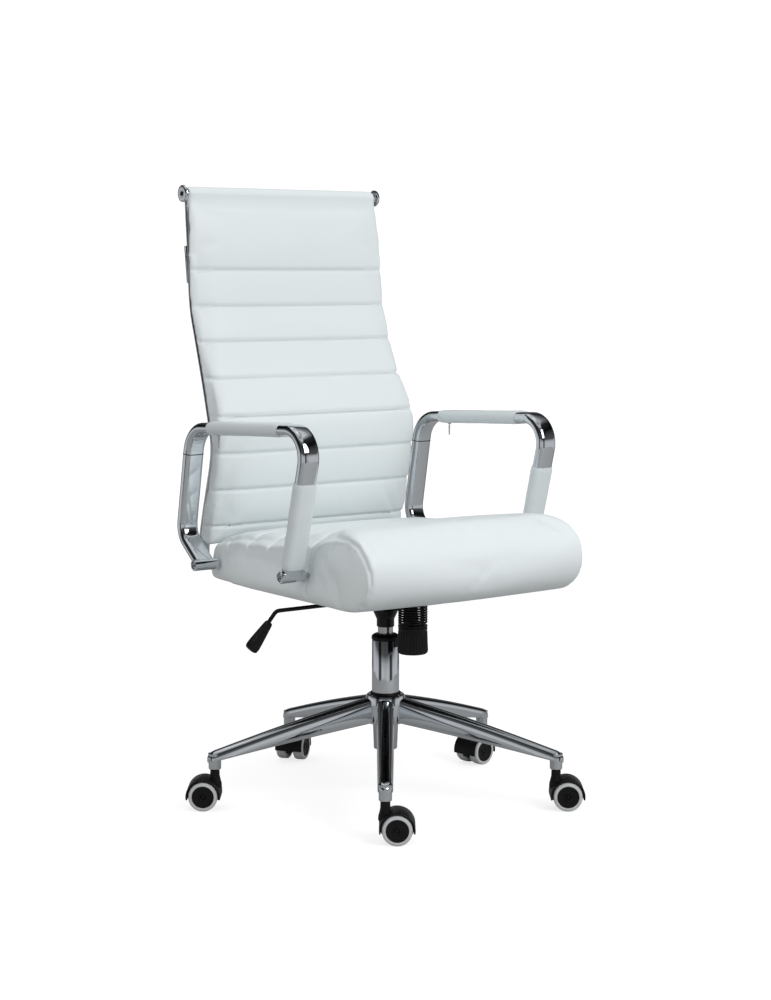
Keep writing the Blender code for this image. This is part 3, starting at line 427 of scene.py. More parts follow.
def with_modifier(ob, kind, **settings):
    """Add one modifier, work it out and keep only its result."""
    mod = ob.modifiers.new(kind.lower(), kind)
    for key, value in settings.items():
        setattr(mod, key, value)
    mesh = settled(ob)
    ob.modifiers.clear()
    old = ob.data
    ob.data = mesh
    bpy.data.meshes.remove(old)
    return ob


PRESSURE = 4.0
CLOTH_FRAMES = 20
VOXEL = 0.006


def puff(ob, cap, pinned):
    """Remesh the block, blow it up as cloth, hold each point to the cap, and soften it once."""
    with_modifier(ob, "REMESH", mode="VOXEL", voxel_size=VOXEL)
    with_modifier(ob, "SMOOTH", factor=0.5, iterations=6)
    before = vectors_of(ob.data, "co")
    held = ob.vertex_groups.new(name="held")
    still = np.nonzero(pinned(before, vectors_of(ob.data, "normal")))[0]
    held.add([int(i) for i in still], 1.0, "REPLACE")
    mod = ob.modifiers.new("cloth", "CLOTH")
    mod.settings.use_pressure = True
    mod.settings.uniform_pressure_force = PRESSURE
    mod.settings.effector_weights.gravity = 0.0
    mod.settings.vertex_group_mass = "held"
    mod.settings.quality = 4
    mod.point_cache.frame_start = 1
    mod.point_cache.frame_end = CLOTH_FRAMES
    for number in range(1, CLOTH_FRAMES + 1):
        bpy.context.scene.frame_set(number)
    mesh = settled(ob)
    move = vectors_of(mesh, "co") - before
    bpy.data.meshes.remove(mesh)
    ob.modifiers.clear()
    ob.vertex_groups.clear()
    bpy.context.scene.frame_set(1)
    length = np.linalg.norm(move, axis=1)
    share = np.minimum(1.0, cap / np.maximum(length, 1e-9))
    set_points(ob.data, before + move * share[:, None])
    print("cloth moved its points by up to", round(float(length.max()), 4))
    with_modifier(ob, "SMOOTH", factor=0.5, iterations=4)
    with_modifier(ob, "SUBSURF", levels=1, render_levels=1)
    return ob


def groove(distance, width):
    """Depth share of a sewn seam at a distance from its thread."""
    return np.exp(-(distance / width) ** 2)


def to_seam(values, seams, reach=0.0017):
    """Pull points that are almost on a seam right on to it, so that it creases sharply."""
    nearest = np.array(seams)[np.abs(values[:, None] - np.array(seams)[None, :]).argmin(axis=1)]
    return np.where(np.abs(values - nearest) < reach, nearest, values)


def channel(values, seams):
    """For each value: distance to the nearest seam, and how far it stands between two seams."""
    seams = np.sort(np.array(seams))
    distance = np.abs(values[:, None] - seams[None, :]).min(axis=1)
    slot = np.clip(np.searchsorted(seams, values) - 1, 0, len(seams) - 2)
    t = (values - seams[slot]) / (seams[slot + 1] - seams[slot])
    puffed = np.where((t > 0) & (t < 1), 1 - (2 * t - 1) ** 2, 0.0)
    return distance, puffed


def near_line(points, line):
    """Distance of each 2-D point from a line of points."""
    best = np.full(len(points), 1e9)
    for a, b in zip(line, line[1:]):
        a, b = np.array(a), np.array(b)
        run = b - a
        t = np.clip(((points - a) @ run) / (run @ run), 0, 1)
        best = np.minimum(best, np.linalg.norm(points - a - t[:, None] * run, axis=1))
    return best


def to_place(ob, name):
    """Move a pad's mesh to the swivel axis and name it."""
    ob.data.transform(Matrix.Translation(SWIVEL))
    ob.name = ob.data.name = name
    ob.data.shade_smooth()
    return ob


# %% [markdown]
# The seat is thin at the back and ends in a fat roll over the front edge of the board. Its
# side outline follows that: a rising top, an oval nose, and a flat bottom. The nose is 480 mm
# wide, a little wider than the rest, and the channels run across it only behind the roll.

# %% Seat pad
SEAT_HALF = 0.2370
NOSE = (-0.2150, 0.4545, 0.0700, 0.0590)     # centre y, centre z, depth, rise
NOSE_FALL = 0.0680                            # from the centre down to its lowest point
SEAT_PUFF = 0.010                             # how far a point may be blown out
LINING_ROOM = 0.3936                          # underside of the pad over the lining
RIM_LOW = 0.3865                              # underside of the rim round the lining
SEAT_SEAMS = (0.183, 0.115, 0.047, -0.021, -0.089)
SIDE_SEAM = ((0.236, 0.456), (0.200, 0.466), (0.117, 0.473), (0.050, 0.475), (-0.024, 0.482), (-0.080, 0.489),
             (-0.098, 0.492))
ROLL_SEAM = ((-0.093, 0.404), (-0.091, 0.444), (-0.100, 0.480), (-0.120, 0.499), (-0.150, 0.508), (-0.208, 0.510),
             (-0.242, 0.501), (-0.262, 0.484), (-0.276, 0.462), (-0.279, 0.436), (-0.268, 0.412), (-0.250, 0.400))


def seat_side():
    top = [(0.236, 0.446), (0.228, 0.458), (0.180, 0.466), (0.115, 0.472), (0.047, 0.476), (-0.021, 0.483),
           (-0.089, 0.493), (-0.130, 0.504), (-0.170, 0.511)]
    nose = []
    for i in range(17):
        a = math.radians(90 + 180 * i / 16)
        rise = NOSE[3] if i < 8 else NOSE_FALL
        nose.append((NOSE[0] + NOSE[2] * math.cos(a), NOSE[1] + rise * math.sin(a)))
    return top + nose + [(-0.10, 0.387), (0.10, 0.388), (0.226, 0.392), (0.236, 0.402)]


def seat_pad():
    ob = block(seat_side(), SEAT_HALF - 0.004)
    puff(ob, SEAT_PUFF, lambda p, n: (p[:, 2] < 0.396) & (p[:, 1] > -0.19))
    mesh = ob.data
    p, n = vectors_of(mesh, "co"), vectors_of(mesh, "normal")
    on_top = (n[:, 2] > 0.4) & (np.abs(p[:, 0]) < SEAT_HALF - 0.008)
    p[:, 1] = np.where(on_top, to_seam(p[:, 1], SEAT_SEAMS), p[:, 1])
    x, y = p[:, 0], p[:, 1]
    across = np.clip(1 - (np.abs(x) / SEAT_HALF) ** 2, 0, 1)
    up = np.clip((n[:, 2] - 0.2) / 0.5, 0, 1)
    rear = np.clip((y + 0.110) / 0.02, 0, 1)
    distance, puffed = channel(y, SEAT_SEAMS)
    inside = np.clip((SEAT_HALF - 0.004 - np.abs(x)) / 0.014, 0, 1)
    lift = up * rear * inside * (0.0034 * puffed - 0.0048 * groove(distance, 0.0030))
    lift += up * across * 0.0065 * np.clip((y + 0.26) / 0.1, 0, 1) * np.clip((0.245 - y) / 0.1, 0, 1)
    side = np.clip((np.abs(n[:, 0]) - 0.25) / 0.3, 0, 1)
    yz = p[:, 1:]
    piping = groove(near_line(yz, SIDE_SEAM), 0.0034) + groove(near_line(yz, ROLL_SEAM), 0.0034)
    lift -= side * np.clip(piping, 0, 1) * 0.0035
    p = p + n * lift[:, None]
    wide = 1 + 0.012 * np.clip((-0.14 - p[:, 1]) / 0.06, 0, 1)
    p[:, 0] *= wide
    under = (np.abs(p[:, 0]) < 0.204) & (p[:, 1] > -0.196) & (p[:, 1] < 0.204)
    p[:, 2] = np.maximum(p[:, 2], np.where(under, LINING_ROOM, RIM_LOW))
    set_points(mesh, p)
    to_place(ob, "seat_pad")
    mesh.materials.append(WHITE_COVER)
    declare(ob, "seat", ("seat_cushion",))
    return ob


SEAT = seat_pad()

# %% [markdown]
# The back is a long S: it leans away at the top, bulges towards the small of the back, and
# tucks in behind the seat. It is thin at the top, where it is rolled round a steel bar, and
# about 45 mm thick in the middle. The top panel is plain and seven channels lie below it.

# %% Back pad
BAR = (0.3380, 1.0970)
ROLL_R = 0.0155
BACK_HALF = 0.2155
FLARE = 0.062                                 # widening for each metre below the bar
BACK_PUFF = 0.006                             # how far a point may be blown out
ROLL_LOW = 1.070                              # the cover is held on its bar above this
RAIL_LINE = ((0.3380, 1.0870), (0.3365, 1.0680), (0.3340, 1.0401), (0.3280, 0.9801), (0.3250, 0.9302),
             (0.3180, 0.8802), (0.3010, 0.8278), (0.2760, 0.7519), (0.2580, 0.6919), (0.2465, 0.6502),
             (0.2445, 0.6249), (0.2490, 0.5952), (0.2610, 0.5522), (0.2740, 0.5048), (0.2835, 0.4650))
PAD_LINE = ((0.3225, 1.0910), (0.3160, 1.0401), (0.3080, 0.9801), (0.3020, 0.9200), (0.2965, 0.8891),
            (0.2835, 0.8499), (0.2620, 0.7898), (0.2300, 0.7298), (0.2080, 0.6868), (0.2045, 0.6552),
            (0.2065, 0.6198), (0.2130, 0.5750), (0.2250, 0.5200), (0.2400, 0.4720), (0.2475, 0.4448))
BACK_SEAMS = (0.957, 0.890, 0.825, 0.7585, 0.690, 0.622, 0.554, 0.486)


def back_flare(z):
    """How much wider the back is than at its top."""
    return 1 + FLARE * np.maximum(BAR[1] - z, 0.0)


def back_side():
    front = [(p.x + 0.0035, p.y) for p in flowing(PAD_LINE, 4)]
    rear = [(p.x - 0.0042, p.y) for p in flowing(RAIL_LINE, 4) if 0.462 < p.y < 1.068]
    roll = []
    for i in range(15):
        a = math.radians(-70 + 245 * i / 14)
        roll.append((BAR[0] + (ROLL_R - 0.001) * math.cos(a), BAR[1] + (ROLL_R - 0.001) * math.sin(a)))
    return front + [(0.262, 0.444), (0.272, 0.452)] + rear[::-1] + roll


def back_pad():
    ob = block(back_side(), BACK_HALF - 0.001, back_flare)
    line = np.array([(q.y, q.x) for q in flowing(RAIL_LINE, 4)][::-1])

    def behind(p):
        return p[:, 1] > np.interp(p[:, 2], line[:, 0], line[:, 1]) - 0.0095

    puff(ob, BACK_PUFF, lambda p, n: behind(p) | (p[:, 2] > ROLL_LOW))
    mesh = ob.data
    p, n = vectors_of(mesh, "co"), vectors_of(mesh, "normal")
    p[:, 2] = np.where(n[:, 1] < -0.4, to_seam(p[:, 2], BACK_SEAMS), p[:, 2])
    half = BACK_HALF * back_flare(p[:, 2])
    front = np.clip((-n[:, 1] - 0.1) / 0.4, 0, 1) * (p[:, 2] < 1.075)
    distance, puffed = channel(p[:, 2], BACK_SEAMS)
    plain = np.clip((p[:, 2] - BACK_SEAMS[0]) / (1.075 - BACK_SEAMS[0]), 0, 1)
    headrest = np.where(p[:, 2] > BACK_SEAMS[0], 1 - (2 * plain - 1) ** 2, 0.0) * 0.0045
    inside = np.clip((half + 0.002 - np.abs(p[:, 0])) / 0.016, 0.12, 1)
    seam = groove(distance, 0.0029)
    lift = front * inside * (0.0028 * puffed + headrest - 0.0046 * seam)
    edge = np.clip((np.abs(n[:, 0]) - 0.3) / 0.4, 0, 1) * ~behind(p)
    lift += edge * (0.0005 * puffed - 0.0006 * seam)
    p = p + n * lift[:, None]
    p[:, 0] *= 1 + 0.012 * np.clip((ROLL_LOW - p[:, 2]) / 0.05, 0, 1)
    set_points(mesh, p)
    to_place(ob, "back_pad")
    mesh.materials.append(WHITE_COVER)
    declare(ob, "seat", ("back_cushion",))
    return ob


BACK = back_pad()

# %% [markdown]
# Seams are only believable with their thread. A row of stitches is a line of short bars, each
# one laid on the cover at the closest point. The pitch is about 5 mm, as on heavy upholstery.

# %% Rows of stitches
STITCH_R = 0.00042
STITCH_L = 0.0034
STITCH_PITCH = 0.0052


def tree_of(ob):
    return BVHTree.FromPolygons([v.co[:] for v in ob.data.vertices], [f.vertices[:] for f in ob.data.polygons])


def evenly(line, pitch):
    """Points at an even pitch along a 3-D line."""
    out, left = [], 0.0
    for a, b in zip(line, line[1:]):
        a, b = Vector(a), Vector(b)
        run = (b - a).length
        while left < run:
            out.append(a.lerp(b, left / run))
            left += pitch
        left -= run
    return out


def stitch_row(bm, tree, line, sink=0.0001):
    """Lay stitches along a line, pulled on to the cover."""
    spots = [tree.find_nearest(p + SWIVEL) for p in evenly(line, STITCH_PITCH)]
    for here, after in zip(spots, spots[1:]):
        run = after[0] - here[0]
        if run.length < 1e-4 or run.length > 3 * STITCH_PITCH:
            continue
        made = bmesh.ops.create_cone(bm, cap_ends=True, segments=5, radius1=STITCH_R, radius2=STITCH_R,
                                     depth=STITCH_L)["verts"]
        turn = run.to_track_quat("Z", "Y").to_matrix().to_4x4()
        bmesh.ops.transform(bm, verts=made, matrix=Matrix.Translation(here[0] + here[1] * sink - SWIVEL) @ turn)


def sewn_seams():
    seat_tree, back_tree = tree_of(SEAT), tree_of(BACK)
    threads = bmesh.new()
    for side in (-1, 1):
        for offset in (-0.0028, 0.0028):
            line = [Vector((side * 0.244, y + offset, z + offset)) for y, z in ROLL_SEAM[1:-1]]
            stitch_row(threads, seat_tree, line)
        stitch_row(threads, seat_tree, [Vector((side * 0.243, y, z - 0.004)) for y, z in SIDE_SEAM])
    piece("seat_stitches", threads, WHITE_THREAD, "seat")
    threads = bmesh.new()
    for z in BACK_SEAMS[:-1]:
        y = float(np.interp(z, [q[1] for q in PAD_LINE][::-1], [q[0] for q in PAD_LINE][::-1]))
        reach = BACK_HALF * back_flare(z) - 0.010
        stitch_row(threads, back_tree, [Vector((-reach, y, z)), Vector((reach, y, z))])
    piece("back_stitches", threads, WHITE_THREAD, "seat")


sewn_seams()

# %% [markdown]
# The underside of the seat is closed with black lining, a thin flat cloth stapled inside the
# pad's lower rim. It shows only from below.

# %% Seat lining
def seat_lining():
    bm = bmesh.new()
    bmesh.ops.create_grid(bm, x_segments=24, y_segments=24, size=0.5)
    for v in bm.verts:
        v.co = Vector((v.co.x * 0.416, v.co.y * 0.408 + 0.004, 0.3932))
    bmesh.ops.solidify(bm, geom=bm.faces, thickness=0.0016)
    top = max(v.co.z for v in bm.verts)
    bmesh.ops.translate(bm, vec=(0, 0, 0.3930 - top), verts=bm.verts)
    return bm


piece("seat_lining", seat_lining(), LINING, "seat")

# %% [markdown]
# ## Arms
#
# Each arm is one flat-oval tube, 40 by 20 mm, bent four times into a loop. Its two ends are
# crossed by short barrels that the bolts pass through. The tube is swept with the wide side
# across the chair, and the bends get enough rings for the chrome to reflect smoothly.

# %% Arm tubes and their bolts
ARM_X = 0.2599
ARM_CORNERS = ((-0.0860, 0.4365), (-0.1530, 0.6900), (0.2290, 0.6720), (0.2660, 0.4744), (0.2000, 0.4245))
ARM_RADII = (0.0, 0.045, 0.055, 0.040, 0.0)
TUBE = (0.0200, 0.0100)
BARREL_R = 0.0105
BARREL_OUT = 0.2850
BOLT_HEAD_R = 0.0068


def arm_tube(side):
    path = in_side_view(bent(ARM_CORNERS, ARM_RADII, 16), side * ARM_X)
    bm = sweep(path, (1, 0, 0), oval(*TUBE, 10))
    for y, z in (ARM_CORNERS[0], ARM_CORNERS[-1]):
        rim = lathe([(BOLT_HEAD_R + 0.0004, 0.0), (BOLT_HEAD_R + 0.0004, 0.0060), (BARREL_R - 0.0010, 0.0062),
                     (BARREL_R, 0.0050), (BARREL_R, -0.0425), (BARREL_R - 0.0010, -0.0435), (0.0048, -0.0435),
                     (0.0048, 0.0)], 40, ring=True)
        join(bm, facing_out(rim, side, BARREL_OUT - 0.0064, y, z))
    return bm


def arm_shade_band(side):
    """A thin black band round the tube just below the rear bend: a painted shade line across the chrome."""
    a, b = ARM_CORNERS[2], ARM_CORNERS[3]
    ends = [Vector(a).lerp(Vector(b), (a[1] - z) / (a[1] - b[1])) for z in (0.6250, 0.6234)]
    return sweep(in_side_view(ends, side * ARM_X), (1, 0, 0), oval(TUBE[0] + 0.00025, TUBE[1] + 0.00025, 10))


def bolt_heads(side):
    bm = bmesh.new()
    for y, z in (ARM_CORNERS[0], ARM_CORNERS[-1]):
        head = lathe([(0.0, 0.0018), (0.0032, 0.0018), (0.0034, 0.0040), (BOLT_HEAD_R - 0.0012, 0.0040),
                      (BOLT_HEAD_R, 0.0028), (BOLT_HEAD_R, 0.0), (0.0042, 0.0), (0.0042, -0.1), (0.0, -0.1)], 36)
        join(bm, facing_out(head, side, BARREL_OUT - 0.0062, y, z))
    return bm


for word, side in SIDES:
    piece(f"arm_loop_{word}", arm_tube(side), CHROME, "seat", (f"arm_tube_{word}",))
    # a black band painted round the tube as a shade line
    piece(f"arm_joint_{word}", arm_shade_band(side), BLACK_NYLON, "seat")
    piece(f"arm_bolts_{word}", bolt_heads(side), BRIGHT_STEEL, "seat",
          (f"arm_bolt_front_{word}", f"arm_bolt_rear_{word}"))

# %% [markdown]
# White sleeves zip round the top and the front post. A sleeve is a loose tube of the same
# cover over thin foam, so it is a little fatter than the chrome, softly uneven along its
# length, and rolled in at its hems.

# %% Arm sleeves
SLEEVE = (0.0218, 0.0121)


def on_run(a, b, value, axis):
    t = (value - a[axis]) / (b[axis] - a[axis])
    return Vector(a).lerp(Vector(b), t)


def sleeve(start, end, x):
    """A padded tube with hems, slightly waisted between soft swellings."""
    rings = 34
    path = in_side_view([Vector(start).lerp(Vector(end), i / rings) for i in range(rings + 1)], x)
    sizes = []
    for i in range(rings + 1):
        t = i / rings
        hem = min(t, 1 - t) * rings
        swell = 1.0 + 0.012 * math.sin(9.0 * t + 1.0) + 0.010 * math.sin(23.0 * t)
        edge = {0: 0.955, 1: 1.0, 2: 1.03, 3: 1.0}.get(int(round(hem)), swell)
        sizes.append((edge if hem < 4 else 1.0 + (swell - 1.0) * 0.6, edge if hem < 4 else swell))
    return sweep(path, (1, 0, 0), oval(*SLEEVE, 10), sizes=sizes)


# Both sleeves wear the darker copy of the cover, which is painted shade.
for word, side in SIDES:
    x = side * ARM_X
    ends = [on_run(ARM_CORNERS[1], ARM_CORNERS[2], y, 0) for y in (-0.0700, 0.1600)]
    piece(f"top_sleeve_{word}", sleeve(*ends, x), SHADED_SLEEVE_COVER, "seat",
          (f"arm_top_sleeve_{word}",), sharp=60)
    ends = [on_run(ARM_CORNERS[0], ARM_CORNERS[1], z, 1) for z in (0.4520, 0.6000)]
    piece(f"post_sleeve_{word}", sleeve(*ends, x), SHADED_SLEEVE_COVER, "seat",
          (f"arm_post_sleeve_{word}",), sharp=60)


# %% [markdown]
# The zip's slider rides on its own joint. It is a small block, with a flat tab that hangs from
# it by a ring and narrows towards its end.

# %% Zip pulls
def zip_pull(side):
    x, (y, z) = side * ARM_X, on_run(ARM_CORNERS[1], ARM_CORNERS[2], 0.1480, 0)
    z -= 0.0129
    bm = bmesh.new()
    add_box(bm, Matrix.Translation((x, y, z - 0.0012)), (0.0046, 0.0052, 0.0022))
    tab = add_box(bm, Matrix.Translation((x, y, z - 0.0135)), (0.0014, 0.0046, 0.0185))
    for v in tab:
        if v.co.z < z - 0.015:
            v.co.y = y + (v.co.y - y) * 0.65
    soften(bm, 0.0004, 2)
    loop = bmesh.new()
    ring = [loop.verts.new((0.0016 + 0.0005 * math.cos(a), 0, 0.0005 * math.sin(a)))
            for a in [2 * math.pi * i / 10 for i in range(10)]]
    edges = [loop.edges.new((ring[i - 1], ring[i])) for i in range(10)]
    bmesh.ops.spin(loop, geom=ring + edges, cent=(0, 0, 0), axis=(0, 0, 1), angle=2 * math.pi, steps=20,
                   use_merge=True)
    bmesh.ops.remove_doubles(loop, verts=loop.verts, dist=1e-6)
    loop.transform(Matrix.Translation((x, y, z - 0.0034)) @ Matrix.Rotation(math.radians(90), 4, "Y"))
    join(bm, loop)
    return bm


for word, side in SIDES:
    piece(f"zip_tab_{word}", zip_pull(side), BRIGHT_STEEL, f"zip_pull_{word}", (f"zip_pull_{word}",))

# %% [markdown]
# ## Back frame
#
# Two flat-oval rails carry the back. They follow its S, spread apart towards the seat, and
# turn under it. The rails are swept in the side view and then spread sideways with height.

# %% Rails, spreader, bar and caps
RAIL_OUT = 0.2135
RAIL_W = 0.0220
RAIL_T = 0.0060
RAIL_FOOT = ((0.2880, 0.4086), (0.1000, 0.4086))


def spread_out(bm):
    for v in bm.verts:
        v.co.x *= back_flare(v.co.z)
    return bm


def rail(side):
    line = flowing([(0.3380, 1.0862)] + list(RAIL_LINE[1:]), 5)
    foot = bent([tuple(line[-1])] + list(RAIL_FOOT), (0.0, 0.026, 0.0), 10)
    path = in_side_view(line + foot[1:], side * (RAIL_OUT - RAIL_W / 2))
    return spread_out(sweep(path, (1, 0, 0), oval(RAIL_W / 2, RAIL_T / 2, 6)))


def cap(side):
    bm = lathe([(0.0, 0.0040), (0.0040, 0.0040), (0.0048, 0.0032), (0.0060, 0.0032), (0.0068, 0.0044),
                (0.0125, 0.0050), (0.0145, 0.0044), (0.0158, 0.0028), (0.0160, 0.0004), (0.0150, 0.0),
                (0.0080, 0.0), (0.0080, -0.0150), (0.0, -0.0150)], 48)
    return facing_out(bm, side, BACK_HALF + 0.0003, *BAR)


def cap_screw(side):
    bm = lathe([(0.0, 0.0046), (0.0020, 0.0046), (0.0024, 0.0052), (0.0040, 0.0050), (0.0046, 0.0036),
                (0.0, 0.0036)], 32)
    return facing_out(bm, side, BACK_HALF + 0.0003, *BAR)


for word, side in SIDES:
    piece(f"back_rail_{word}", rail(side), RAIL_CHROME, "seat", (f"side_rail_{word}",))
    piece(f"bar_cap_{word}", cap(side), CHROME, "seat", (f"top_cap_{word}",))
    piece(f"bar_screw_{word}", cap_screw(side), BLACK_PAINT, "seat")

SPREADER = ((0.3291, 1.0022), (0.3212, 0.9327))


def spreader():
    """A pressed chrome plate across the rails, with softened edges and two screws at each end."""
    bm = bmesh.new()
    (y_top, z_top), (y_low, z_low) = SPREADER
    run = Vector((0, y_top - y_low, z_top - z_low))
    along_x, up = Vector((1, 0, 0)), run.normalized()
    turn = Matrix((along_x, up.cross(along_x), up)).transposed()
    middle = Vector((0, (y_top + y_low) / 2 + 0.0049, (z_top + z_low) / 2 - 0.0005))
    add_box(bm, Matrix.Translation(middle) @ turn.to_4x4(), (0.4360, 0.0028, run.length - 0.001))
    soften(bm, 0.0011, 3)
    for x in (-0.206, 0.206):
        for along in (-0.022, 0.022):
            head = lathe([(0.0, 0.0006), (0.0014, 0.0008), (0.0016, 0.0018), (0.0036, 0.0014), (0.0044, 0.0),
                          (0.0, -0.001)], 28)
            seat_at = middle + up * along + Vector((x, 0.0015, 0))
            head.transform(Matrix.Translation(seat_at) @ Matrix.Rotation(math.radians(-90), 4, "X"))
            join(bm, head)
    return bm


piece("back_plate", spreader(), RAIL_CHROME, "seat", ("back_spreader",))

# %% [markdown]
# ## Star base
#
# Five pressed steel legs are welded to a hub and chromed. A leg is a ridge that narrows and
# drops towards its tip, with a rounded back and a round nose over the caster socket. It is
# made by extruding one soft square section along the leg and resizing each ring.

# %% Star base
BASE_R = 0.3200
LEG_ANGLES = (234, 306, 18, 90, 162)
LEG_NOSE_R = 0.0135


def leg_size(r):
    """Half width, top and bottom of a leg at a distance from the swivel axis."""
    t = (r - 0.018) / (BASE_R - 0.018)
    half = 0.0165 + (0.0130 - 0.0165) * t
    top = 0.1868 + (0.1050 - 0.1868) * t + 0.0030 * math.sin(math.pi * min(t, 1.0))
    low = 0.1390 + (0.0868 - 0.1390) * t + 0.0015 * math.sin(math.pi * min(t, 1.0))
    if r > BASE_R:
        half *= math.sqrt(max(1 - ((r - BASE_R) / LEG_NOSE_R) ** 2, 0.0004))
        top -= 0.0075 * ((r - BASE_R) / LEG_NOSE_R) ** 2
    return half, top, low


def leg_section(half, top, low, count=9):
    """An upright rounded section: a domed back, straight flanks and small lower corners."""
    points = []
    dome = min(half * 0.95, 0.013)
    for i in range(count + 1):
        a = math.radians(180 * i / count)
        points.append((math.copysign(abs(math.cos(a)) ** 0.75, math.cos(a)) * half * 0.93,
                       top - dome + dome * math.sin(a) ** 0.8))
    foot = min(half * 0.3, 0.0035)
    points += [(-half, top - dome - (top - low) * 0.25), (-half, low + foot), (-half + foot * 0.3, low + foot * 0.3),
               (-half + foot, low), (half - foot, low), (half - foot * 0.3, low + foot * 0.3), (half, low + foot),
               (half, top - dome - (top - low) * 0.25)]
    return points


def leg():
    bm = bmesh.new()
    stations = [0.016 + (BASE_R - 0.016) * i / 14 for i in range(15)]
    stations += [BASE_R + LEG_NOSE_R * math.sin(math.radians(a)) for a in (18, 36, 52, 66, 78, 87)]
    ring = [bm.verts.new((stations[0], a, b)) for a, b in leg_section(*leg_size(stations[0]))]
    edges = [bm.edges.new((ring[i - 1], ring[i])) for i in range(len(ring))]
    bmesh.ops.contextual_create(bm, geom=edges)
    order = {v: i for i, v in enumerate(ring)}
    for r in stations[1:]:
        made = bmesh.ops.extrude_edge_only(bm, edges=edges)["geom"]
        verts = [g for g in made if isinstance(g, bmesh.types.BMVert)]
        fresh = set(verts)
        shape = leg_section(*leg_size(r))
        old, order = order, {}
        for v in verts:
            below = next(e.other_vert(v) for e in v.link_edges if e.other_vert(v) not in fresh)
            order[v] = old[below]
        for v, i in order.items():
            v.co = Vector((r, *shape[i]))
        edges = [g for g in made if isinstance(g, bmesh.types.BMEdge) and fresh.issuperset(g.verts)]
    bmesh.ops.contextual_create(bm, geom=edges)
    socket = lathe([(0.0058, 0.0720), (0.0104, 0.0720), (0.0112, 0.0728), (0.0114, 0.0880), (0.0118, 0.1000),
                    (0.0058, 0.1000)], 40, ring=True)
    socket.transform(Matrix.Translation((BASE_R, 0, 0)))
    join(bm, socket)
    return bm


def star_base():
    bm = lathe([(0.0253, 0.1880), (0.0310, 0.1893), (0.0345, 0.1872), (0.0358, 0.1830), (0.0360, 0.1420),
                (0.0350, 0.1372), (0.0320, 0.1350), (0.0240, 0.1350)], 72, ring=True)
    for angle in LEG_ANGLES:
        one = leg()
        one.transform(Matrix.Rotation(math.radians(angle), 4, "Z"))
        join(bm, one)
    return bm


piece("base_star", star_base(), CHROME, "base", ("star_base",), sharp=40)


# %% [markdown]
# ## Casters
#
# Each caster is a black nylon hood over two wheels. The wheels are dark discs with a pale soft
# tread moulded round them, so from the side they show as a light ring round a black face. The
# shapes are made in the caster's own place, then put under each leg at its own angle.

# %% Casters
WHEEL_R = 0.0262
TRAIL = 0.0200
TRAIL_ANGLES = (-36, -36, 189, 37, 144)
TREAD_IN = 0.0068
WHEEL_W = 0.0210
AXLE_R = 0.0042
AXLE_OUT = 0.0262
SHELL_IN = 0.0280
SHELL_T = 0.0028


def hood():
    """The curved shell, the middle wall, its lip on both sides and the neck."""
    hub = Vector((TRAIL, 0, WHEEL_R))
    path = []
    for i in range(41):
        a = math.radians(-10 + 200 * i / 40)
        path.append(hub + Vector((math.cos(a), 0, math.sin(a))) * (SHELL_IN + SHELL_T / 2))
    bm = sweep(path, (0, 1, 0), oval(0.0272, SHELL_T / 2, 5))
    wall = lathe([(0.0046, 0.0052), (0.0085, 0.0055), (SHELL_IN + 0.0004, 0.0055), (SHELL_IN + 0.0004, -0.0055),
                  (0.0085, -0.0055), (0.0046, -0.0052)], 56, ring=True)
    whole = list(wall.verts) + list(wall.edges) + list(wall.faces)
    bmesh.ops.bisect_plane(wall, geom=whole, plane_co=(0, -0.010, 0), plane_no=(0, -1, 0), clear_outer=True)
    bmesh.ops.holes_fill(wall, edges=[e for e in wall.edges if e.is_boundary])
    wall.transform(Matrix.Translation(hub) @ Matrix.Rotation(math.radians(90), 4, "X"))
    join(bm, wall)
    neck = lathe([(0.0056, 0.0709), (0.0076, 0.0709), (0.0084, 0.0702), (0.0086, 0.0600), (0.0098, 0.0540),
                  (0.0118, 0.0470), (0.0124, 0.0400), (0.0090, 0.0330), (0.0056, 0.0330)], 40, ring=True)
    join(bm, neck)
    return bm


def tread(side):
    half = WHEEL_W / 2
    bm = lathe([(0.0196, half - 0.0012), (0.0202, half - 0.0002), (0.0222, half), (0.0246, half - 0.0010),
                (0.0258, half - 0.0030), (WHEEL_R, half - 0.0060), (WHEEL_R, -half + 0.0050), (0.0256, -half + 0.0020),
                (0.0240, -half + 0.0004), (0.0196, -half + 0.0004)], 64, ring=True)
    return on_axle(bm, side)


def disc(side):
    half = WHEEL_W / 2
    bm = lathe([(0.0046, half - 0.0018), (0.0052, half - 0.0012), (0.0068, half - 0.0012), (0.0074, half - 0.0022),
                (0.0150, half - 0.0026), (0.0180, half - 0.0012), (0.0196, half - 0.0011), (0.0198, half - 0.0020),
                (0.0198, -half + 0.0008), (0.0170, -half + 0.0008), (0.0150, -half + 0.0030), (0.0070, -half + 0.0030),
                (0.0060, -half + 0.0004), (0.0046, -half + 0.0004)], 64, ring=True)
    return on_axle(bm, side)


def on_axle(bm, side):
    bm.transform(Matrix.Translation((TRAIL, side * (TREAD_IN + WHEEL_W / 2), WHEEL_R))
                 @ Matrix.Rotation(math.radians(-90 * side), 4, "X"))
    return bm


def axle():
    return rounded_cylinder((TRAIL, -AXLE_OUT, WHEEL_R), (TRAIL, AXLE_OUT, WHEEL_R), AXLE_R, 0.0010, 28)


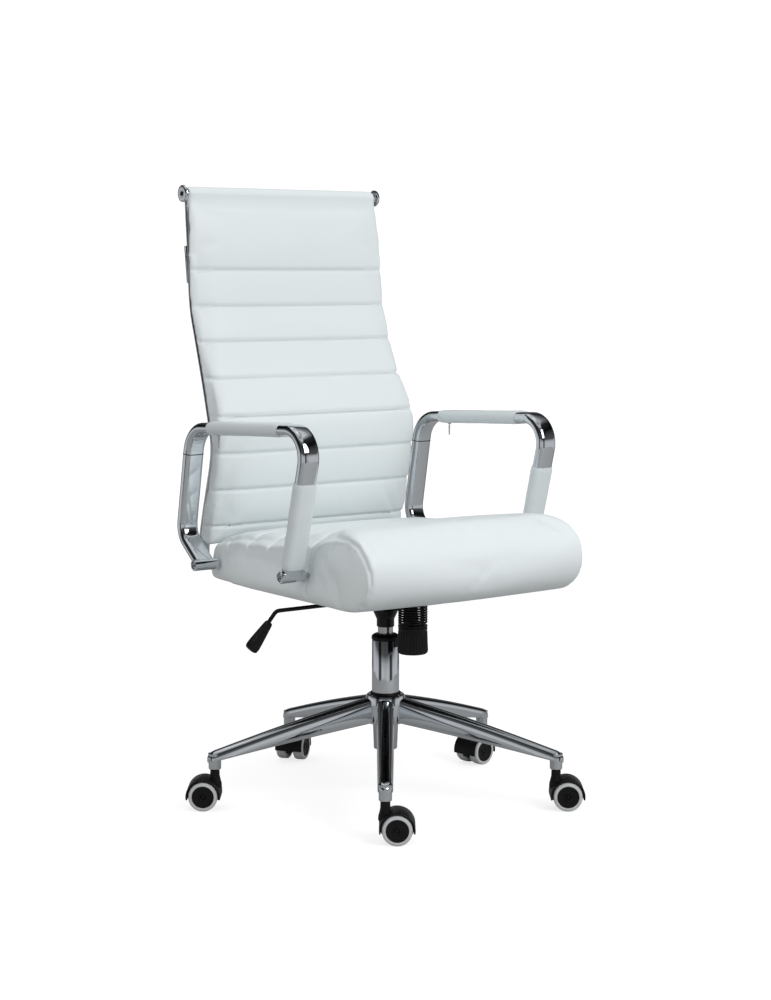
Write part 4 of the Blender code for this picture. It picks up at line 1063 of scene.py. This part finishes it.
for number, (angle, trail) in enumerate(zip(LEG_ANGLES, TRAIL_ANGLES), 1):
    spot = Matrix.Rotation(math.radians(angle), 4, "Z") @ Vector((BASE_R, 0, 0))
    under = Matrix.Translation(spot) @ Matrix.Rotation(math.radians(trail), 4, "Z")
    caster = f"caster_{number}"
    parts = [(f"hood_{number}", hood(), BLACK_NYLON, caster, "black_plastic", (f"caster_hood_{number}",)),
             (f"axle_{number}", axle(), BLACK_NYLON, caster, "bright_steel", (f"caster_axle_{number}",))]
    for word, side in (("left", 1), ("right", -1)):
        body = f"caster_wheel_{word}_{number}"
        parts.append((f"tread_{word}_{number}", tread(side), GREY_TREAD, body, "grey_tyre",
                      (f"wheel_{word}_{number}",)))
        parts.append((f"disc_{word}_{number}", disc(side), BLACK_NYLON, body, "grey_tyre", ()))
    for name, bm, material, body, slot, stands_for in parts:
        bm.transform(under)
        piece(name, bm, material, body, stands_for)


# %% [markdown]
# ## Gas lift and mechanism
#
# The lift column is a chromed tube that tapers into the hub. A black collar caps it, and the
# thin cylinder slides in it. Under the seat a pressed black pan holds the cylinder's top in a
# flared socket. All of these are turned shapes.

# %% Gas lift
COLUMN_TOP = 0.2890


# A black ring in the hub's mouth round the column: painted shade where the column goes down into the hub.
def hub_ring():
    return lathe([(0.0252, 0.1925), (0.0268, 0.1925), (0.0275, 0.1915), (0.0275, 0.1880), (0.0252, 0.1880)], 64,
                 ring=True)


def column():
    return lathe([(0.0143, COLUMN_TOP), (0.0232, COLUMN_TOP), (0.0244, COLUMN_TOP - 0.0005),
                  (0.0250, COLUMN_TOP - 0.0016), (0.0250, 0.1900), (0.0215, 0.0880), (0.0208, 0.0870),
                  (0.0053, 0.0870), (0.0053, 0.0920), (0.0186, 0.0920), (0.0186, 0.2350), (0.0143, 0.2350)], 96,
                 ring=True)


def collar():
    bm = lathe([(0.0143, 0.2992), (0.0190, 0.2993), (0.0205, 0.2990), (0.0240, 0.2968), (0.0253, 0.2950),
                (0.0256, 0.2930), (0.0256, 0.2900), (0.0251, 0.2893), (0.0143, 0.2893)], 64, ring=True)
    tab_place = Matrix.Rotation(math.radians(14), 4, "Z") @ Matrix.Translation((0, -0.0262, 0.2850))
    add_box(bm, tab_place, (0.0110, 0.0014, 0.0160))
    return bm


def cylinder():
    return lathe([(0.0043, 0.3530), (0.0130, 0.3530), (0.0140, 0.3520), (0.0140, 0.1265), (0.0130, 0.1250),
                  (0.0055, 0.1250), (0.0055, 0.2950), (0.0, 0.2950), (0.0, 0.3330), (0.0043, 0.3330)], 72, ring=True)


def socket_sleeve():
    """The flared neck round the cylinder, drawn just outside the pan's own socket."""
    return lathe([(0.0143, 0.3124), (0.0152, 0.3124), (0.0161, 0.3132), (0.0161, 0.3265), (0.0172, 0.3285),
                  (0.0226, 0.3405), (0.0232, 0.3430), (0.0268, 0.3486), (0.0143, 0.3486)], 72, ring=True)


# the black hub ring is painted shade
piece("hub_ring", hub_ring(), BLACK_NYLON, "base")
piece("column_tube", column(), CHROME, "base", ("lift_column",))
piece("column_collar", collar(), BLACK_NYLON, "base", ("lift_collar",))
piece("inner_cylinder", cylinder(), BRIGHT_STEEL, "carriage", ("lift_cylinder",))
piece("pan_neck", socket_sleeve(), BLACK_PAINT, "carriage")


# %% [markdown]
# The tension knob is a fluted pot on a threaded stud, with a coil spring above it. Flutes are
# made by pushing in three of every four columns of the lathe's points. The spring is a wire swept
# along a helix. On the chair it flattens as the seat tilts, because its lower washer rises; here it
# is drawn at one fixed length.

# %% Tension knob, washer and spring
KNOB_Y = -0.0830
FLUTES = 30


def knob():
    bm = lathe([(0.0053, 0.3237), (0.0238, 0.3240), (0.0255, 0.3236), (0.0262, 0.3224), (0.0262, 0.3190),
                (0.0256, 0.3182), (0.0256, 0.3166), (0.0263, 0.3158), (0.0266, 0.3050), (0.0270, 0.2930),
                (0.0276, 0.2815), (0.0268, 0.2775), (0.0240, 0.2752), (0.0130, 0.2741), (0.0, 0.2740),
                (0.0, 0.2850), (0.0053, 0.2850)], FLUTES * 4, ring=True)
    for v in bm.verts:
        r = math.hypot(v.co.x, v.co.y)
        if r > 0.0258 and v.co.z < 0.3160:
            step = round(math.degrees(math.atan2(v.co.y, v.co.x)) / (360 / (FLUTES * 4))) % 4
            v.co.xy *= 1 - (0.0, 0.0007, 0.0011, 0.0007)[step] / r
    bm.transform(Matrix.Translation((0, KNOB_Y, 0)))
    return bm


def washer():
    bm = lathe([(0.0053, 0.3267), (0.0262, 0.3267), (0.0266, 0.3262), (0.0266, 0.3247), (0.0262, 0.3243),
                (0.0053, 0.3243)], 56, ring=True)
    bm.transform(Matrix.Translation((0, KNOB_Y, 0)))
    return bm


def spring(turns=8, per_turn=26, wire=0.0019):
    low, high, radius = 0.3286, 0.3642, 0.0248
    bm = bmesh.new()
    path = []
    for i in range(turns * per_turn + 1):
        a = 2 * math.pi * i / per_turn
        path.append(Vector((radius * math.cos(a), KNOB_Y + radius * math.sin(a),
                            low + (high - low) * i / (turns * per_turn))))
    places = []
    for i, point in enumerate(path):
        out = Vector((point.x, point.y - KNOB_Y, 0)).normalized()
        run = (path[min(i + 1, len(path) - 1)] - path[max(i - 1, 0)]).normalized()
        up = run.cross(out).normalized()
        places.append(Matrix.Translation(point) @ Matrix((out, up, run)).transposed().to_4x4())
    corners = [math.radians(45 * k) for k in range(8)]
    ring = [bm.verts.new(places[0] @ Vector((wire * math.cos(a), wire * math.sin(a), 0))) for a in corners]
    return draw_out(bm, ring, places)


piece("knob", knob(), BLACK_NYLON, "tension_knob", ("tension_knob",), sharp=28)
piece("washer", washer(), BLACK_PAINT, "spring_washer", ("spring_washer",))
COIL = piece("coil", spring(), BLACK_PAINT, "carriage", ("tension_spring",))
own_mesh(COIL)


# %% [markdown]
# The height lever is a bent black rod that ends in a moulded paddle. The paddle is a soft
# square section drawn out along the rod, narrow where the rod goes in and fatter towards its
# end, and then softened by subdivision.

# %% Height lever
LEVER_LINE = ((0.0100, 0.3635), (-0.2360, 0.3635), (-0.2680, 0.3270))


def lever_rod():
    path = [Vector((p.x, 0, p.y)) for p in bent(LEVER_LINE, (0.0, 0.014, 0.0), 12)]
    return sweep(path, (0, 1, 0), oval(0.0037, 0.0037, 10))


def lever_paddle():
    start = Vector((-0.2500, 0, 0.3455))
    down = Vector((LEVER_LINE[2][0] - LEVER_LINE[1][0], 0, LEVER_LINE[2][1] - LEVER_LINE[1][1])).normalized()
    across = Vector((-down.z, 0, down.x))
    shape = ((0.0, 0.0058, 0.0050), (0.0030, 0.0072, 0.0060), (0.0160, 0.0088, 0.0068), (0.0340, 0.0112, 0.0078),
             (0.0500, 0.0132, 0.0084), (0.0580, 0.0128, 0.0080), (0.0612, 0.0100, 0.0060))
    bm = bmesh.new()
    section = [(math.cos(a), math.sin(a)) for a in [2 * math.pi * i / 20 for i in range(20)]]
    section = [(math.copysign(abs(c) ** 0.72, c), math.copysign(abs(s) ** 0.72, s)) for c, s in section]
    width, depth = shape[0][1:]
    ring = [bm.verts.new(start + across * (a * width) + Vector((0, b * depth, 0))) for a, b in section]
    frame_here = Matrix((across, Vector((0, 1, 0)), down)).transposed().to_4x4()
    places = [Matrix.Translation(start + down * s) @ frame_here @ Matrix.Diagonal((w, t, 1, 1))
              for s, w, t in shape]
    return draw_out(bm, ring, places)


piece("lever_bar", lever_rod(), BLACK_PAINT, "height_lever", ("lever_rod",))
PADDLE = piece("lever_paddle", lever_paddle(), BLACK_NYLON, "height_lever", ("lever_grip",))
PADDLE.modifiers.new("soft", "SUBSURF").levels = 2
PADDLE.modifiers["soft"].render_levels = 2

# %% [markdown]
# What is left of the frame stays as it is and only needs its finish: the pan, the plate under
# the seat, the pin, the board and the hidden steel.

# %% Finishes for the carried parts
CARRIED = {"mech_pan": BLACK_PAINT, "seat_plate": BLACK_PAINT, "tilt_pin": BRIGHT_STEEL, "seat_board": BARE_PLY,
           "top_bar": BRIGHT_STEEL, "lift_rod": BRIGHT_STEEL, "lift_button": BRIGHT_STEEL}
CARRIED.update({f"caster_stem_{n}": BRIGHT_STEEL for n in range(1, 6)})
for name, finish in CARRIED.items():
    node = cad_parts[name]
    node.data.materials.clear()
    node.data.materials.append(finish)
print("carried parts", len(CARRIED))

# %% [markdown]
# ## The studio
#
# A white object on white needs its contrast from reflections. The floor glows a little, as a lit
# studio sweep does, so it has no edge. The sky is three skies: white behind the chair, a softer
# white for plain light, and for polished metal one that is pale at eye level, dark overhead and
# crossed by two dark upright bands on each side, as in a room with lights between black flags.

# %% Floor, lamps and skies
def studio_floor(half, colour, roughness, glow):
    """A flat square sheet with a glow that only shows directly."""
    bm = bmesh.new()
    bmesh.ops.create_grid(bm, x_segments=1, y_segments=1, size=half)
    mesh = bpy.data.meshes.new("floor")
    bm.to_mesh(mesh)
    bm.free()
    ob = bpy.data.objects.new("floor", mesh)
    bpy.context.scene.collection.objects.link(ob)
    material, nodes, links, shader = new_finish("floor", colour, roughness)
    seen = nodes.new("ShaderNodeLightPath")
    strength = nodes.new("ShaderNodeMath")
    strength.operation = "MULTIPLY"
    strength.inputs[1].default_value = glow
    links.new(seen.outputs["Is Camera Ray"], strength.inputs[0])
    links.new(strength.outputs["Value"], shader.inputs["Emission Strength"])
    shader.inputs["Emission Color"].default_value = (1.0, 1.0, 1.0, 1.0)
    mesh.materials.append(material)


AZIMUTH = math.radians(35.949)
RIGHT = Vector((math.cos(AZIMUTH), -math.sin(AZIMUTH), 0))
studio_floor(2.2, (0.42, 0.42, 0.42), 0.7, 0.74)


def lamp(name, place, target, size, power):
    data = bpy.data.lights.new(name, "AREA")
    data.shape = "RECTANGLE"
    data.size, data.size_y = size
    data.energy = power
    ob = bpy.data.objects.new(name, data)
    ob.location = place
    ob.rotation_euler = (Vector(target) - Vector(place)).to_track_quat("-Z", "Y").to_euler()
    bpy.context.scene.collection.objects.link(ob)


AIM = (0, 0, 0.6)
lamp("key", (0.6, -3.0, 2.4), AIM, (1.8, 1.8), 48)
lamp("top", (-0.4, 0.8, 3.4), AIM, (2.4, 2.4), 5)

world = bpy.data.worlds.new("studio")
bpy.context.scene.world = world
world.use_nodes = True
nodes, links = world.node_tree.nodes, world.node_tree.links


def tone_ramp(stops, tint=(1.0, 1.0, 1.0)):
    """A colour ramp through (position, tone) stops that starts at 0 and ends in white."""
    node = nodes.new("ShaderNodeValToRGB")
    elements = node.color_ramp.elements
    for at, tone in stops:
        stop = elements[0] if at == 0.0 else elements.new(at)
        stop.position, stop.color = at, (*(tone * share for share in tint), 1.0)
    return node


light = nodes["Background"]
light.inputs["Color"].default_value = (1.0, 1.0, 1.0, 1.0)
behind = nodes.new("ShaderNodeBackground")
behind.inputs["Strength"].default_value = 1.1
behind.inputs["Color"].default_value = (1.0, 1.0, 1.0, 1.0)
mirrored = nodes.new("ShaderNodeBackground")
direction = nodes.new("ShaderNodeTexCoord")
height = nodes.new("ShaderNodeSeparateXYZ")
bands = tone_ramp(((0.0, 0.62), (0.08, 0.50), (0.17, 0.10), (0.60, 0.02), (0.78, 0.25), (0.86, 0.80), (0.93, 0.25)),
                  (1.0, 1.01, 1.03))
links.new(direction.outputs["Generated"], height.inputs["Vector"])
links.new(height.outputs["Z"], bands.inputs["Fac"])
links.new(bands.outputs["Color"], mirrored.inputs["Color"])
sideways = nodes.new("ShaderNodeVectorMath")
sideways.operation = "DOT_PRODUCT"
sideways.inputs[1].default_value = RIGHT
links.new(direction.outputs["Generated"], sideways.inputs[0])
either = nodes.new("ShaderNodeMath")
either.operation = "ABSOLUTE"
links.new(sideways.outputs["Value"], either.inputs[0])
flags = tone_ramp(((0.0, 0.85), (0.50, 1.0), (0.62, 0.10), (0.80, 0.10), (0.90, 1.0)))
links.new(either.outputs["Value"], flags.inputs["Fac"])
links.new(flags.outputs["Color"], mirrored.inputs["Strength"])
soft = nodes.new("ShaderNodeMapRange")
soft.inputs["To Min"].default_value = 0.50
soft.inputs["To Max"].default_value = 0.84
links.new(height.outputs["Z"], soft.inputs["Value"])
links.new(soft.outputs["Result"], light.inputs["Strength"])
seen = nodes.new("ShaderNodeLightPath")
first, last = nodes.new("ShaderNodeMixShader"), nodes.new("ShaderNodeMixShader")
links.new(seen.outputs["Is Glossy Ray"], first.inputs["Fac"])
links.new(light.outputs["Background"], first.inputs[1])
links.new(mirrored.outputs["Background"], first.inputs[2])
links.new(seen.outputs["Is Camera Ray"], last.inputs["Fac"])
links.new(first.outputs["Shader"], last.inputs[1])
links.new(behind.outputs["Background"], last.inputs[2])
links.new(last.outputs["Shader"], nodes["World Output"].inputs["Surface"])
bpy.context.scene.view_settings.view_transform = "Standard"

# %% [markdown]
# The camera stands at the sitter's right front, just below the height of the headrest, and
# looks slightly down with a 73 mm lens.

# %% Camera
DOWN = math.radians(6.3415)
REACH = 3.6557
camera_data = bpy.data.cameras.new("camera")
camera_data.lens = 73.28
camera_data.sensor_width = 36.0
camera = bpy.data.objects.new("camera", camera_data)
camera.location = SWIVEL + Vector((-REACH * math.sin(AZIMUTH), -REACH * math.cos(AZIMUTH), 0.9496))
camera.rotation_euler = (math.radians(90) - DOWN, 0, -AZIMUTH)
bpy.context.scene.collection.objects.link(camera)
bpy.context.scene.camera = camera
